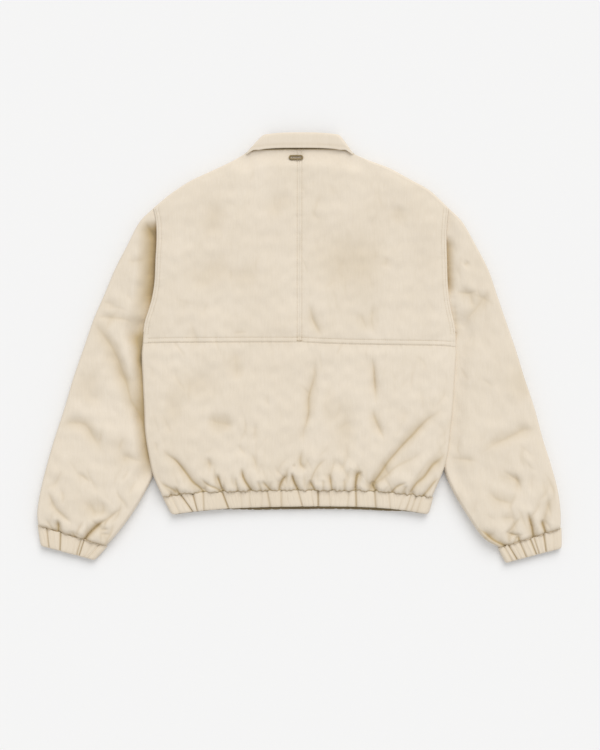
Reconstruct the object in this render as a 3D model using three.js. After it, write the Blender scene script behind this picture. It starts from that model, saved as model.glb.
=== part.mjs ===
import * as THREE from 'three';

// A cropped, padded chore jacket in beige cotton twill, laid on its front with its back up.
// Millimetres. X runs to the wearer's right, Y towards the collar, Z up from the surface below.
// Every panel is a padded wall: an outer face with its folds over a plain inner face.

// Driving sizes
const SEAM_GAP = 0.3;
const ARMHOLE_GAP = 0.9;
const SEAM_PLANE = 12;
const BACK_LOFT = 13;
const SLOT = 2.2;
const SEAM_STRIP = 5;
const ROUND_BACK = 19;
const ROUND_FRONT = 10;
const ARMHOLE_TOP = 18.5;
const ARMHOLE_DROP = 5.5;
const NECK_TOP = 15.6;
const BAND_SEAM_TOP = 15;
const PINCH_DEPTH = 2.6;
const PINCH_WIDTH = 6;
const SLEEVE_LOFT = 23;
const SLEEVE_EDGE = 10;
const TUCK_TOP = 11;
const TUCK_EDGE = 5.4;
const CUFF_SEAM_TOP = 13;
const HOLLOW_INSET = 6.5;
const NECK_SHARE = 0.36;
const PLACKET_WIDTH = 36;
const PLACKET_DEPTH = 8;
const TUCK_GAP = 1.6;

const named = (columns, rows) => rows.map(
  (row) => Object.fromEntries(columns.map((column, place) => [column, row[place]])),
);

// Body sides by height: the back's edge, and the front's edge, which lies further in below the arm
// where the sleeve is tucked between the back and the surface below
const BODY_SIDES = named(['y', 'left', 'right', 'frontLeft', 'frontRight'], [
  [241, -252, 257, -252, 257],
  [217, -247, 254.5, -247, 254.5],
  [190, -246, 253, -246, 253],
  [150, -248, 254, -248, 254],
  [115, -249.5, 255, -249.5, 255],
  [86, -254, 257.5, -254, 257.5],
  [65, -260, 261, -260, 261],
  [46, -266, 265.5, -266, 265.5],
  [27, -269, 269, -269, 269],
  [10, -270, 270, -263, 263],
  [-12, -272, 270.5, -259, 258],
  [-57, -270, 267.5, -257, 256],
  [-110, -267.5, 264, -254, 252],
  [-145, -266, 260, -251, 249],
  [-189, -259, 254.5, -247, 244],
  [-222, -251, 243.5, -243, 236],
  [-256, -236, 228.5, -233, 226],
  [-262, -233, 226, -230, 223],
]);
const SHOULDER_TIP = 241;
const UNDERARM = 27;

// Neck and shoulder line of the back
const SHOULDERS = named(['x', 'y'], [
  [-252, 241], [-223, 265], [-188, 288], [-154, 304], [-118, 321], [-95, 334], [-82, 341.5],
  [-50, 346], [0, 347], [50, 346], [82, 341.5], [97, 333], [121, 323], [156, 309.5], [190, 291],
  [225, 271], [257, 241],
]);
const NECK_HALF = 95;

// Front neckline, lower than the back's
const FRONT_NECK = named(['x', 'y'], [
  [-95, 334], [-84, 318], [-66, 296], [-42, 278], [-18, 269.5], [0, 268], [18, 269.5],
  [42, 278], [66, 296], [84, 317.5], [97, 333],
]);

// Yoke seam and hem band, across the back
const YOKE_SEAM = named(['x', 'y'], [
  [-272, 8.5], [-214, 9.5], [0, 10.3], [52, 8], [138, 6], [242, 4.3], [272, 2],
]);
const HEM_BAND = named(['x', 'top', 'bottom'], [
  [-240, -257, -291], [-190, -250, -283], [-125, -247, -277], [-50, -245, -274],
  [50, -245, -273], [120, -246, -274.5], [170, -250, -278.5], [235, -258, -289],
]);
const HEM_ENDS = { topLeft: -234, topRight: 228, bottomLeft: -218, bottomRight: 220 };
const HEM_LAYERS = { back: 11.6, front: 3, thick: 5.8, gather: 2.6 };
const FRONT_HEM_DROP = 5;

// Gathers of the hem band: where each furrow starts at the seam and ends at the hem
const HEM_GATHERS = named(['top', 'bottom', 'depth'], [
  [-218, -204, 0.8], [-200, -188, 1], [-183, -176, 0.8], [-166, -164, 1], [-150, -146, 0.5],
  [-132, -121, 1], [-116, -109, 0.5], [-102, -97, 1], [-90, -85, 0.9], [-72, -68, 0.6],
  [-52, -47, 1], [-32, -30, 0.8], [-18, -13, 0.5], [-4, 6, 1], [21, 25, 1], [32, 34, 0.8],
  [51, 54, 1], [68, 70, 0.6], [85, 82, 0.9], [97, 101, 1], [113, 117, 0.5], [128, 133, 1],
  [142, 145, 0.5], [156, 157, 1], [180, 178, 1], [192, 190, 0.8], [204, 197, 0.9],
  [217, 209, 0.7],
]);

// Sleeves by section, from the armhole to the cuff. Where inner X is null the sleeve's inner edge
// lies against the side of the front.
const SLEEVE_COLUMNS = ['outerX', 'outerY', 'innerX', 'innerY'];
const SLEEVE_SECTIONS = {
  left: named(SLEEVE_COLUMNS, [
    [-252, 241, null, 27], [-276, 217, null, 23], [-298, 175, null, 14], [-319, 134, null, 0],
    [-336, 93, null, -20], [-354, 52, null, -46], [-372, 0, null, -80], [-390, -52, null, -122],
    [-405, -103, null, -166], [-422, -155, -249, -207], [-434, -196, -266, -248],
    [-446, -244, -291, -289], [-452, -282, -317, -323], [-450, -306, -334, -341],
  ]),
  right: named(SLEEVE_COLUMNS, [
    [257, 241, null, 27], [281, 217, null, 23], [305, 175, null, 14], [326, 134, null, 0],
    [340, 93, null, -20], [354, 52, null, -46], [372, 0, null, -80], [388, -52, null, -122],
    [405, -103, null, -166], [419, -155, 248, -205], [432, -196, 264, -246],
    [445, -244, 291, -291], [450, -282, 317, -327], [450, -311, 345, -344],
  ]),
};

// Cuff openings, and the gathers as shares of the cuff's width from its outer end
const CUFFS = {
  left: { outer: [-443, -342], inner: [-357, -365] },
  right: { outer: [449.5, -346], inner: [359, -370] },
};
const CUFF_GATHERS = named(['share', 'depth'], [
  [0.09, 1], [0.21, 0.6], [0.33, 1], [0.45, 0.7], [0.56, 0.9], [0.67, 1], [0.78, 0.8], [0.9, 1],
]);
const CUFF_LAYERS = { back: 10, front: 2.8, thick: 5.4, gather: 2.2 };

// Creases as soft troughs: start, bend and end, half width and depth
const CREASE_COLUMNS = ['x0', 'y0', 'x1', 'y1', 'x2', 'y2', 'width', 'depth'];
const BACK_CREASES = named(CREASE_COLUMNS, [
  [-233, -179, -202, -210, -168, -249, 10, 5],
  [-163, -124, -137, -129, -107, -138, 11, 3],
  [-142, -218, -135, -236, -131, -250, 8, 3],
  [-101, -200, -95, -225, -92, -246, 8, 3],
  [-11, -212, -9, -230, -3, -243, 8, 3.4],
  [28, -3, 17, -95, 4, -175, 9, 3.2],
  [4, -172, 2, -195, 9, -214, 8, 3],
  [80, -60, 80, -130, 75, -193, 14, 2],
  [116, -29, 131, -55, 131, -93, 9, 3.6],
  [121, -120, 131, -141, 152, -165, 9, 3.4],
  [228, -112, 173, -160, 126, -229, 11, 4.2],
  [257, -172, 224, -208, 193, -243, 10, 4.6],
  [49, -189, 30, -206, 20, -225, 8, 2.6],
  [63, -196, 53, -213, 51, -241, 8, 3],
  [107, -205, 98, -217, 97, -242, 8, 3.4],
  [-85, -172, -82, -200, -72, -225, 9, 2],
  [-109, 3, -110, -20, -108, -54, 11, 2],
  [11, 80, 29, 40, 39, 18, 9, 3.2],
  [126, 85, 127, 50, 126, 18, 9, 2.4],
  [97, 68, 108, 46, 122, 26, 9, 2.2],
  [176, 246, 172, 230, 168, 210, 10, 2],
  [-133, 254, -151, 229, -154, 177, 13, 2],
  [-111, 151, -150, 130, -197, 100, 18, 2],
  [-16, 272, -42, 246, -51, 218, 13, 1.8],
]);
const SLEEVE_CREASES = {
  left: named(CREASE_COLUMNS, [
    [-368, 45, -322, -2, -309, -66, 14, 6],
    [-309, -60, -300, -100, -268, -142, 13, 5],
    [-340, 53, -315, 54, -278, 40, 10, 3],
    [-414, -130, -370, -128, -343, -177, 14, 4.4],
    [-411, -226, -380, -238, -367, -284, 11, 3.6],
    [-440, -246, -424, -276, -391, -303, 10, 3.6],
    [-298, -284, -330, -286, -357, -294, 9, 3],
    [-325, -298, -345, -308, -358, -320, 8, 3.6],
    [-266, 222, -254, 203, -251, 182, 9, 4],
    [-309, -184, -290, -186, -261, -196, 10, 1.8],
  ]),
  right: named(CREASE_COLUMNS, [
    [268, 97, 286, 91, 309, 102, 10, 3],
    [331, 102, 308, 80, 276, 30, 14, 2.6],
    [281, 140, 287, 143, 294, 149, 8, 2.4],
    [416, -136, 372, -133, 308, -181, 14, 4.6],
    [255, -185, 283, -194, 308, -194, 10, 2.8],
    [326, -223, 362, -224, 398, -237, 11, 3],
    [310, -243, 338, -248, 376, -269, 11, 3.6],
    [388, -262, 396, -290, 402, -312, 9, 3.8],
    [438, -242, 432, -275, 422, -311, 9, 3],
    [308, -312, 328, -326, 362, -339, 9, 3.6],
  ]),
};

// Broad swells and hollows of the padding
const SWELL_COLUMNS = ['x', 'y', 'reachX', 'reachY', 'height'];
const BACK_SWELLS = named(SWELL_COLUMNS, [
  [87, 147, 62, 48, -2.4], [-175, -65, 34, 24, -1.8], [-60, -120, 60, 60, 1.2],
  [60, -110, 30, 60, 1], [190, -60, 40, 60, 1.4], [-180, 170, 50, 60, 1.2],
  [190, 130, 40, 60, 1.2], [-70, 210, 50, 40, 1], [-205, -150, 40, 40, 1.2],
]);

// Hanger loop and collar
const LOOP = { x: -6, y: 327.6, length: 25, width: 8.4, cord: 3.4, step: 1.6 };
const COLLAR = {
  foldHalf: 71, neckHalf: 92, fold: 370.5, foldDip: 5, neck: 347.6,
  frontFold: 300, frontNeck: 268.6, sideFold: 364, sideNeck: 336,
  back: 16.5, front: 5, fallDrop: 4.6,
};

const clamp = (value) => Math.min(1, Math.max(0, value));
const mix = (a, b, share) => a + (b - a) * share;
const between = (a, b, share) => [mix(a[0], b[0], share), mix(a[1], b[1], share)];

function smooth(value) {
  const t = clamp(value);
  return t * t * (3 - 2 * t);
}

// Quarter circle from 0 at the edge to 1 one radius in
function quarter(value) {
  const t = 1 - clamp(value);
  return Math.sqrt(1 - t * t);
}

function softMin(...values) {
  const softness = 1.2;
  const least = Math.min(...values);
  const sum = values.reduce((total, value) => total + Math.exp((least - value) / softness), 0);
  return least - softness * Math.log(sum);
}

function bell(distance, width) {
  return Math.exp(-((distance / width) ** 2));
}

// Smooth curve through one column of a table, read by another column
function profile(rows, key, value) {
  const sorted = [...rows].sort((a, b) => a[key] - b[key]);
  const slopes = sorted.map((row, i) => {
    const before = sorted[Math.max(0, i - 1)];
    const after = sorted[Math.min(sorted.length - 1, i + 1)];
    return (after[value] - before[value]) / (after[key] - before[key]);
  });
  return (place) => {
    let i = 0;
    while (i < sorted.length - 2 && place > sorted[i + 1][key]) {
      i += 1;
    }
    const span = sorted[i + 1][key] - sorted[i][key];
    const t = clamp((place - sorted[i][key]) / span);
    const rise = sorted[i + 1][value] - sorted[i][value];
    const start = slopes[i] * span - rise;
    const end = rise - slopes[i + 1] * span;
    return sorted[i][value] + t * rise + t * (1 - t) * (start * (1 - t) + end * t);
  };
}

// Distance from a point to a line of points, and the share along it of the nearest one
function nearest(line, x, y) {
  let best = Infinity;
  let along = 0;
  for (let i = 0; i < line.length - 1; i += 1) {
    const [ax, ay] = line[i];
    const dx = line[i + 1][0] - ax;
    const dy = line[i + 1][1] - ay;
    const t = clamp(((x - ax) * dx + (y - ay) * dy) / (dx * dx + dy * dy));
    const gap = Math.hypot(x - ax - t * dx, y - ay - t * dy);
    if (gap < best) {
      best = gap;
      along = (i + t) / (line.length - 1);
    }
  }
  return { gap: best, along };
}

const sampled = (count, place) => Array.from({ length: count + 1 }, (_, i) => place(i / count));

const leftEdge = profile(BODY_SIDES, 'y', 'left');
const rightEdge = profile(BODY_SIDES, 'y', 'right');
const frontLeftEdge = profile(BODY_SIDES, 'y', 'frontLeft');
const frontRightEdge = profile(BODY_SIDES, 'y', 'frontRight');
const shoulderLine = profile(SHOULDERS, 'x', 'y');
const frontNeck = profile(FRONT_NECK, 'x', 'y');
const yokeSeam = profile(YOKE_SEAM, 'x', 'y');
const bandTop = profile(HEM_BAND, 'x', 'top');
const bandBottom = profile(HEM_BAND, 'x', 'bottom');
const SIDES = {
  left: { sign: -1, back: leftEdge, front: frontLeftEdge },
  right: { sign: 1, back: rightEdge, front: frontRightEdge },
};

function makeCreases(rows) {
  return rows.map((row) => {
    const start = [row.x0, row.y0];
    const bend = [row.x1, row.y1];
    const end = [row.x2, row.y2];
    const line = sampled(8, (t) => between(between(start, bend, t), between(bend, end, t), t));
    return { line, width: row.width, depth: row.depth };
  });
}

// Depth of all creases at a point: a trough that fades at both ends, with a low ridge beside it
function creaseDepth(creases, x, y) {
  let depth = 0;
  for (const crease of creases) {
    const { gap, along } = nearest(crease.line, x, y);
    if (gap < 3.5 * crease.width) {
      const fade = 0.25 + 0.75 * smooth(along / 0.3) * smooth((1 - along) / 0.3);
      const ridge = 0.3 * bell(gap - 2 * crease.width, crease.width);
      depth += crease.depth * fade * (bell(gap, crease.width) - ridge);
    }
  }
  return depth;
}

function swellHeight(swells, x, y) {
  return swells.reduce((height, swell) => {
    const spread = Math.hypot((x - swell.x) / swell.reachX, (y - swell.y) / swell.reachY);
    return height + swell.height * bell(spread, 1);
  }, 0);
}

// Edges of the body in plan
const armhole = (side) => sampled(24, (t) => {
  const y = mix(SHOULDER_TIP, UNDERARM, t);
  return [SIDES[side].back(y), y];
});
const sideSeam = (side) => sampled(24, (t) => {
  const y = mix(UNDERARM, -262, t);
  return [SIDES[side].back(y), y];
});
const frontSide = (side) => sampled(24, (t) => {
  const y = mix(UNDERARM, -262, t);
  return [SIDES[side].front(y), y];
});
const shoulder = (from, to) => sampled(16, (t) => {
  const x = mix(from, to, t);
  return [x, shoulderLine(x)];
});
const ARMHOLES = [armhole('left'), armhole('right')];
const BACK_SIDES = [sideSeam('left'), sideSeam('right')];
const FRONT_SIDES = [frontSide('left'), frontSide('right')];
const SHOULDER_LINES = [shoulder(-252, -NECK_HALF), shoulder(257, NECK_HALF)];
const NECK_LINE = [shoulder(-NECK_HALF, NECK_HALF)];
const HEM_LINE = [sampled(24, (t) => [mix(-240, 235, t), bandTop(mix(-240, 235, t))])];
const YOKE_LINE = [sampled(24, (t) => [mix(-272, 272, t), yokeSeam(mix(-272, 272, t))])];

const gapTo = (lines, x, y) => Math.min(...lines.map((line) => nearest(line, x, y).gap));

// Notches that each gather draws into the cloth above the hem band
const hemNotches = HEM_GATHERS.map((gather, i) => {
  const reach = 16 + 9 * ((i * 5) % 3);
  const slant = 0.35 * (gather.top - gather.bottom);
  const top = bandTop(gather.top);
  return {
    x0: gather.top, y0: top, x1: gather.top + slant / 2, y1: top + reach / 2,
    x2: gather.top + slant, y2: top + reach, width: 5, depth: 3.4 * gather.depth,
  };
});
const backCreases = makeCreases([...BACK_CREASES, ...hemNotches]);

// Outer face of the back
function backTop(x, y) {
  const round = SEAM_PLANE + SEAM_GAP / 2
    + BACK_LOFT * quarter(gapTo([...BACK_SIDES, ...SHOULDER_LINES], x, y) / ROUND_BACK);
  const full = SEAM_PLANE + BACK_LOFT;
  const arm = mix(ARMHOLE_TOP, full + 2, quarter(gapTo(ARMHOLES, x, y) / 16));
  const neck = mix(NECK_TOP, full + 2, smooth((gapTo(NECK_LINE, x, y) - 8) / 36));
  const hem = mix(BAND_SEAM_TOP, full + 2, quarter(gapTo(HEM_LINE, x, y) / 18));
  const yoke = PINCH_DEPTH * bell(gapTo(YOKE_LINE, x, y), PINCH_WIDTH);
  const centre = y > yokeSeam(x) ? PINCH_DEPTH * 0.7 * bell(x, PINCH_WIDTH) : 0;
  const folds = creaseDepth(backCreases, x, y) - swellHeight(BACK_SWELLS, x, y);
  const calm = smooth(gapTo([...BACK_SIDES, ...SHOULDER_LINES, ...NECK_LINE], x, y) / 16);
  return softMin(round, arm, neck, hem) - (yoke + centre + folds) * calm;
}

// Middle height between the layers of the body, lower where the sleeve drops away
function bodyMiddle(x, y) {
  const along = smooth((y - 30) / 35) * smooth((228 - y) / 25);
  return SEAM_PLANE - ARMHOLE_DROP * along * bell(gapTo(ARMHOLES, x, y), 22);
}

function backInside(x, y) {
  const opened = smooth(gapTo([...FRONT_SIDES, ...SHOULDER_LINES], x, y) / 18 - 0.3);
  return bodyMiddle(x, y) + mix(SEAM_GAP / 2, SLOT / 2, opened);
}

function frontInside(x, y) {
  const opened = smooth(gapTo([...FRONT_SIDES, ...SHOULDER_LINES], x, y) / 18 - 0.3);
  return bodyMiddle(x, y) - mix(SEAM_GAP / 2, SLOT / 2, opened);
}

// Outer face of a front, flat on the surface below and rounded up to the seams
function frontBottom(x, y) {
  const gap = gapTo([...FRONT_SIDES, ...SHOULDER_LINES], x, y);
  return (SEAM_PLANE - SEAM_GAP / 2) * (1 - quarter(gap / ROUND_FRONT));
}

// Patch spanned between four edges, each a function from 0 to 1
function patch(top, bottom, left, right) {
  return (u, v) => [0, 1].map((axis) => {
    const across = mix(left(v)[axis], right(v)[axis], u);
    const down = mix(top(u)[axis], bottom(u)[axis], v);
    const corners = mix(
      mix(top(0)[axis], top(1)[axis], u),
      mix(bottom(0)[axis], bottom(1)[axis], u),
      v,
    );
    return across + down - corners;
  });
}

class Surface {
  constructor() {
    this.points = [];
    this.faces = [];
  }

  point(x, y, z) {
    this.points.push(x, y, z);
    return this.points.length / 3 - 1;
  }

  grid(us, vs, place) {
    return vs.map((v) => us.map((u) => this.point(...place(u, v))));
  }

  skin(grid, flip = false) {
    for (let j = 0; j < grid.length - 1; j += 1) {
      for (let i = 0; i < grid[j].length - 1; i += 1) {
        const [a, b, c, d] = [grid[j][i], grid[j + 1][i], grid[j + 1][i + 1], grid[j][i + 1]];
        this.faces.push(...(flip ? [a, c, b, a, d, c] : [a, b, c, a, c, d]));
      }
    }
  }

  // Joins two rings of points that run the same way, each with its shares along the ring
  join(ringA, sharesA, ringB, sharesB) {
    let i = 0;
    let j = 0;
    while (i < ringA.length - 1 || j < ringB.length - 1) {
      const takeA = j === ringB.length - 1
        || (i < ringA.length - 1 && sharesA[i + 1] <= sharesB[j + 1]);
      if (takeA) {
        this.faces.push(ringA[i], ringA[i + 1], ringB[j]);
        i += 1;
      } else {
        this.faces.push(ringA[i], ringB[j + 1], ringB[j]);
        j += 1;
      }
    }
  }

  geometry() {
    let volume = 0;
    const at = (index) => new THREE.Vector3().fromArray(this.points, index * 3);
    for (let i = 0; i < this.faces.length; i += 3) {
      volume += at(this.faces[i]).dot(at(this.faces[i + 1]).cross(at(this.faces[i + 2])));
    }
    if (volume < 0) {
      this.faces.reverse();
    }
    const geometry = new THREE.BufferGeometry();
    geometry.setAttribute('position', new THREE.Float32BufferAttribute(this.points, 3));
    geometry.setIndex(this.faces);
    geometry.computeVertexNormals();
    return geometry;
  }
}

// Border of a grid, walked once round, with the share of the walk at each point
function border(grid, us, vs) {
  const last = grid.length - 1;
  const end = grid[0].length - 1;
  const ring = [];
  const shares = [];
  us.forEach((u, i) => ring.push(grid[0][i]) && shares.push(u));
  vs.slice(1).forEach((v, j) => ring.push(grid[j + 1][end]) && shares.push(1 + v));
  [...us].reverse().slice(1).forEach((u, i) => {
    ring.push(grid[last][end - 1 - i]);
    shares.push(3 - u);
  });
  [...vs].reverse().slice(1).forEach((v, j) => {
    ring.push(grid[last - 1 - j][0]);
    shares.push(4 - v);
  });
  return { ring, shares };
}

// Padded wall between an outer and an inner face, closed all round
function wall(outer, inner) {
  const surface = new Surface();
  const outside = surface.grid(outer.us, outer.vs, (u, v) => {
    const [x, y] = outer.patch(u, v);
    return [x, y, outer.height(x, y)];
  });
  const inside = surface.grid(inner.us, inner.vs, (u, v) => {
    const [x, y] = inner.patch(u, v);
    return [x, y, inner.height(x, y)];
  });
  surface.skin(outside);
  surface.skin(inside, true);
  const a = border(outside, outer.us, outer.vs);
  const b = border(inside, inner.us, inner.vs);
  surface.join(a.ring, a.shares, b.ring, b.shares);
  return surface.geometry();
}

const evenly = (count) => sampled(count, (t) => t);

// Shares of a span: short steps near both ends, given in millimetres, and even steps between
function graded(span, startSteps, endSteps, evenCount) {
  const start = startSteps.map((step) => step / span);
  const end = endSteps.map((step) => 1 - step / span).reverse();
  const from = start[start.length - 1];
  const middle = sampled(evenCount, (t) => mix(from, end[0], t)).slice(1, -1);
  return [...start, ...middle, ...end];
}

const EDGE_STEPS = [0, 1.5, 5, 10, 18, 28];
const SEAM_STEPS = [0, 3, 7, 13];
const HEM_STEPS = [0, 2, 6, 12, 20];

function yokePanel(side) {
  const { sign, back, front } = SIDES[side];
  const tip = sign < 0 ? -252 : 257;
  const gap = sign * SEAM_GAP / 2;
  const armGap = sign * ARMHOLE_GAP / 2;
  const sideX = (y) => back(y) - armGap;
  const hollowX = (y) => {
    const strip = smooth((UNDERARM - y) / 14);
    return mix(sideX(y), front(y) - sign * SEAM_STRIP, strip);
  };
  const bottomY = yokeSeam(back(6)) + SEAM_GAP / 2;
  const outline = (edge, drop) => {
    const shoulderY = (x) => shoulderLine(x) - drop * smooth((Math.abs(x) - NECK_HALF) / 15);
    const seamY = (x) => yokeSeam(x) + SEAM_GAP / 2;
    const topTip = shoulderY(tip - armGap);
    const topX = (u) => mix(edge(topTip), gap, u);
    const bottomX = (u) => mix(edge(bottomY), gap, u);
    return patch(
      (u) => [topX(u), shoulderY(topX(u))],
      (u) => [bottomX(u), seamY(bottomX(u))],
      (v) => {
        const y = mix(shoulderY(topX(0)), seamY(bottomX(0)), v);
        return [v === 0 ? topX(0) : edge(y), y];
      },
      (v) => [gap, mix(shoulderY(gap), seamY(gap), v)],
    );
  };
  const us = graded(255, EDGE_STEPS, SEAM_STEPS, 12);
  const vs = graded(300, EDGE_STEPS, SEAM_STEPS, 15);
  return wall(
    { us, vs, patch: outline(sideX, 0), height: backTop },
    { us: evenly(9), vs: evenly(12), patch: outline(hollowX, SEAM_STRIP + 1), height: backInside },
  );
}

function lowerBackPanel() {
  const topY = (x) => yokeSeam(x) - SEAM_GAP / 2;
  const hemY = (x) => bandTop(x) + SEAM_GAP / 2;
  const troughs = HEM_GATHERS.map((gather) => gather.top);
  const crests = troughs.slice(1).map((x, i) => (x + troughs[i]) / 2);
  const inner = [...troughs, ...crests].sort((a, b) => a - b);
  const outline = (left, right, hemXs) => {
    const columns = hemXs.length - 1;
    const topXs = hemXs.map((x, i) => {
      const edgeward = Math.min(i, columns - i);
      const even = mix(left(4), right(4), i / columns);
      const nearSide = i < columns / 2 ? left(4) + x - hemXs[0] : right(4) + x - hemXs[columns];
      return edgeward < 5 ? nearSide : even;
    });
    const read = (values, u) => {
      const place = Math.min(columns - 1, Math.floor(u * columns + 1e-9));
      return mix(values[place], values[place + 1], u * columns - place);
    };
    return patch(
      (u) => [read(topXs, u), topY(read(topXs, u))],
      (u) => [read(hemXs, u), hemY(read(hemXs, u))],
      (v) => {
        const y = mix(topY(left(4)), hemY(hemXs[0]), v);
        return [v === 0 ? left(4) : left(y), y];
      },
      (v) => {
        const y = mix(topY(right(4)), hemY(hemXs[columns]), v);
        return [v === 0 ? right(4) : right(y), y];
      },
    );
  };
  const hemLeft = leftEdge(bandTop(-236));
  const hemRight = rightEdge(bandTop(229));
  const steps = [0, 1.5, 4.5, 9];
  const hemXs = [
    ...steps.map((step) => hemLeft + step),
    ...inner,
    ...[...steps].reverse().map((step) => hemRight - step),
  ];
  const innerLeft = (y) => frontLeftEdge(y) + SEAM_STRIP;
  const innerRight = (y) => frontRightEdge(y) - SEAM_STRIP;
  const innerHem = sampled(16, (t) => mix(innerLeft(-256), innerRight(-256), t));
  const vs = graded(255, SEAM_STEPS, HEM_STEPS, 12);
  return wall(
    {
      us: evenly(hemXs.length - 1), vs, patch: outline(leftEdge, rightEdge, hemXs),
      height: backTop,
    },
    {
      us: evenly(16), vs: evenly(12), patch: outline(innerLeft, innerRight, innerHem),
      height: backInside,
    },
  );
}

// A front: neck and shoulder at the top, closure at the centre, armhole and side outside
function frontPanel(side) {
  const { sign, front } = SIDES[side];
  const centre = sign * (PLACKET_WIDTH / 2 + SEAM_GAP);
  const gap = sign * 1.2 * ARMHOLE_GAP;
  const tip = sign < 0 ? -252 : 257;
  const outline = (inset) => {
    const edge = (y) => front(y) - gap - sign * inset * smooth((UNDERARM - y) / 14);
    const topY = (x) => {
      const neck = Math.abs(x) < NECK_HALF;
      return neck ? frontNeck(x) : shoulderLine(x) - inset * smooth((Math.abs(x) - NECK_HALF) / 15);
    };
    const hemY = (x) => bandTop(x) + 2 * SEAM_GAP;
    const tipX = tip - gap;
    const hemX = edge(bandTop(sign * 232));
    const topX = (u) => {
      const inNeck = u > 1 - NECK_SHARE;
      return inNeck
        ? mix(sign * NECK_HALF, centre, (u - 1 + NECK_SHARE) / NECK_SHARE)
        : mix(tipX, sign * NECK_HALF, u / (1 - NECK_SHARE));
    };
    return patch(
      (u) => [topX(u), topY(topX(u))],
      (u) => [mix(hemX, centre, u), hemY(mix(hemX, centre, u))],
      (v) => {
        const y = mix(topY(tipX), hemY(hemX), v);
        return [v === 0 ? tipX : edge(y), y];
      },
      (v) => [centre, mix(topY(centre), hemY(centre), v)],
    );
  };
  const us = [0, 0.005, 0.017, 0.04, 0.087, 0.27, 0.46, 1 - NECK_SHARE, 0.76, 0.88, 1];
  const vs = graded(500, [0, 1.2, 4, 9, 20], [0], 25);
  return wall(
    { us, vs, patch: outline(0), height: frontBottom },
    { us: evenly(7), vs: evenly(16), patch: outline(SEAM_STRIP + 1), height: frontInside },
  );
}

function placketPanel() {
  const half = PLACKET_WIDTH / 2;
  const hem = bandBottom(0) - FRONT_HEM_DROP;
  const shape = new THREE.Shape();
  shape.moveTo(-half, hem);
  shape.lineTo(half, hem);
  shape.lineTo(half, frontNeck(half));
  shape.quadraticCurveTo(0, frontNeck(0) - 1.5, -half, frontNeck(half));
  shape.closePath();
  return new THREE.ExtrudeGeometry(shape, {
    depth: PLACKET_DEPTH, bevelEnabled: false, curveSegments: 6,
  });
}

// Sleeve in plan, and its faces as heights over that plan
function sleeveForm(side) {
  const { sign, back, front } = SIDES[side];
  const rows = SLEEVE_SECTIONS[side].map((row, index) => ({
    index,
    outerX: row.outerX,
    outerY: row.outerY,
    innerX: row.innerX ?? front(row.innerY) + sign * TUCK_GAP,
    innerY: row.innerY,
  }));
  const last = rows.length - 1;
  const tucked = SLEEVE_SECTIONS[side].filter((row) => row.innerX === null).length - 1;
  const column = (name) => profile(rows, 'index', name);
  const outerX = column('outerX');
  const outerY = column('outerY');
  const innerX = column('innerX');
  const innerY = column('innerY');
  const gap = sign * ARMHOLE_GAP / 2;
  const outerEdge = (u) => [outerX(u * last) + gap * (1 - smooth(u * last)), outerY(u * last)];
  const innerEdge = (u) => {
    const y = innerY(u * last);
    const beside = front(y) + sign * mix(ARMHOLE_GAP / 2, TUCK_GAP, smooth(u * last));
    return [u * last < tucked ? beside : innerX(u * last), y];
  };
  const plan = patch(
    (v) => {
      const y = mix(SHOULDER_TIP, UNDERARM, v);
      return [back(y) + gap, y];
    },
    (v) => between(outerEdge(1), innerEdge(1), v),
    outerEdge,
    innerEdge,
  );
  const outerLine = sampled(40, outerEdge);
  const innerLine = sampled(40, innerEdge);
  const armLine = armhole(side);
  const cuffLine = [outerEdge(1), innerEdge(1)];
  const notches = CUFF_GATHERS.map((gather) => {
    const at = between(outerEdge(1), innerEdge(1), gather.share);
    const up = between(outerEdge(0.95), innerEdge(0.95), gather.share);
    const end = between(at, up, 0.75);
    return {
      x0: at[0], y0: at[1], x1: mix(at[0], end[0], 0.5), y1: mix(at[1], end[1], 0.5),
      x2: end[0], y2: end[1], width: 5, depth: 2.6 * gather.depth,
    };
  });
  const creases = makeCreases([...SLEEVE_CREASES[side], ...notches]);
  const tuck = (y) => smooth((y + 258) / 46);
  const plain = (x, y) => {
    const inner = nearest(innerLine, x, y).gap;
    const outer = nearest(outerLine, x, y).gap;
    const arm = nearest(armLine, x, y);
    const open = mix(SLEEVE_EDGE, SLEEVE_LOFT + 1, quarter(inner / 20));
    const shelf = mix(TUCK_EDGE, TUCK_TOP, quarter(inner / 6))
      + (SLEEVE_LOFT + 1 - TUCK_TOP) * smooth((inner - 13) / 30);
    const armTop = mix(12.5, 17, smooth(1 - arm.along / 0.25));
    return softMin(
      mix(SLEEVE_EDGE, SLEEVE_LOFT + 1, quarter(outer / 22)),
      mix(open, shelf, tuck(y)),
      mix(armTop, SLEEVE_LOFT + 1, smooth(arm.gap / 34)),
      mix(CUFF_SEAM_TOP, SLEEVE_LOFT + 1, quarter(nearest(cuffLine, x, y).gap / 20)),
    );
  };
  const edgeHeight = (y, isInner) => (isInner ? mix(SLEEVE_EDGE, TUCK_EDGE, tuck(y)) : SLEEVE_EDGE);
  const top = (x, y) => {
    const rim = Math.min(nearest(innerLine, x, y).gap, nearest(outerLine, x, y).gap);
    const ends = Math.min(1, nearest(armLine, x, y).gap / 12 + 0.2);
    return plain(x, y) - creaseDepth(creases, x, y) * smooth(rim / 22) * ends;
  };
  const bottom = (x, y) => Math.max(
    SLEEVE_EDGE * (1 - quarter(nearest(outerLine, x, y).gap / 12)),
    edgeHeight(y, true) * (1 - quarter(nearest(innerLine, x, y).gap / 8)),
  );
  const middle = (x, y) => (plain(x, y) + bottom(x, y)) / 2;
  return { plan, top, bottom, middle, edgeHeight };
}

// Ring of a flattened tube: shares across the upper layer, then back across the lower one
function ringStations(upper, lower) {
  return [
    ...upper.map((share) => ({ share, upper: true })),
    ...lower.map((share) => ({ share, upper: false })).reverse().slice(1, -1),
  ];
}

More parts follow.
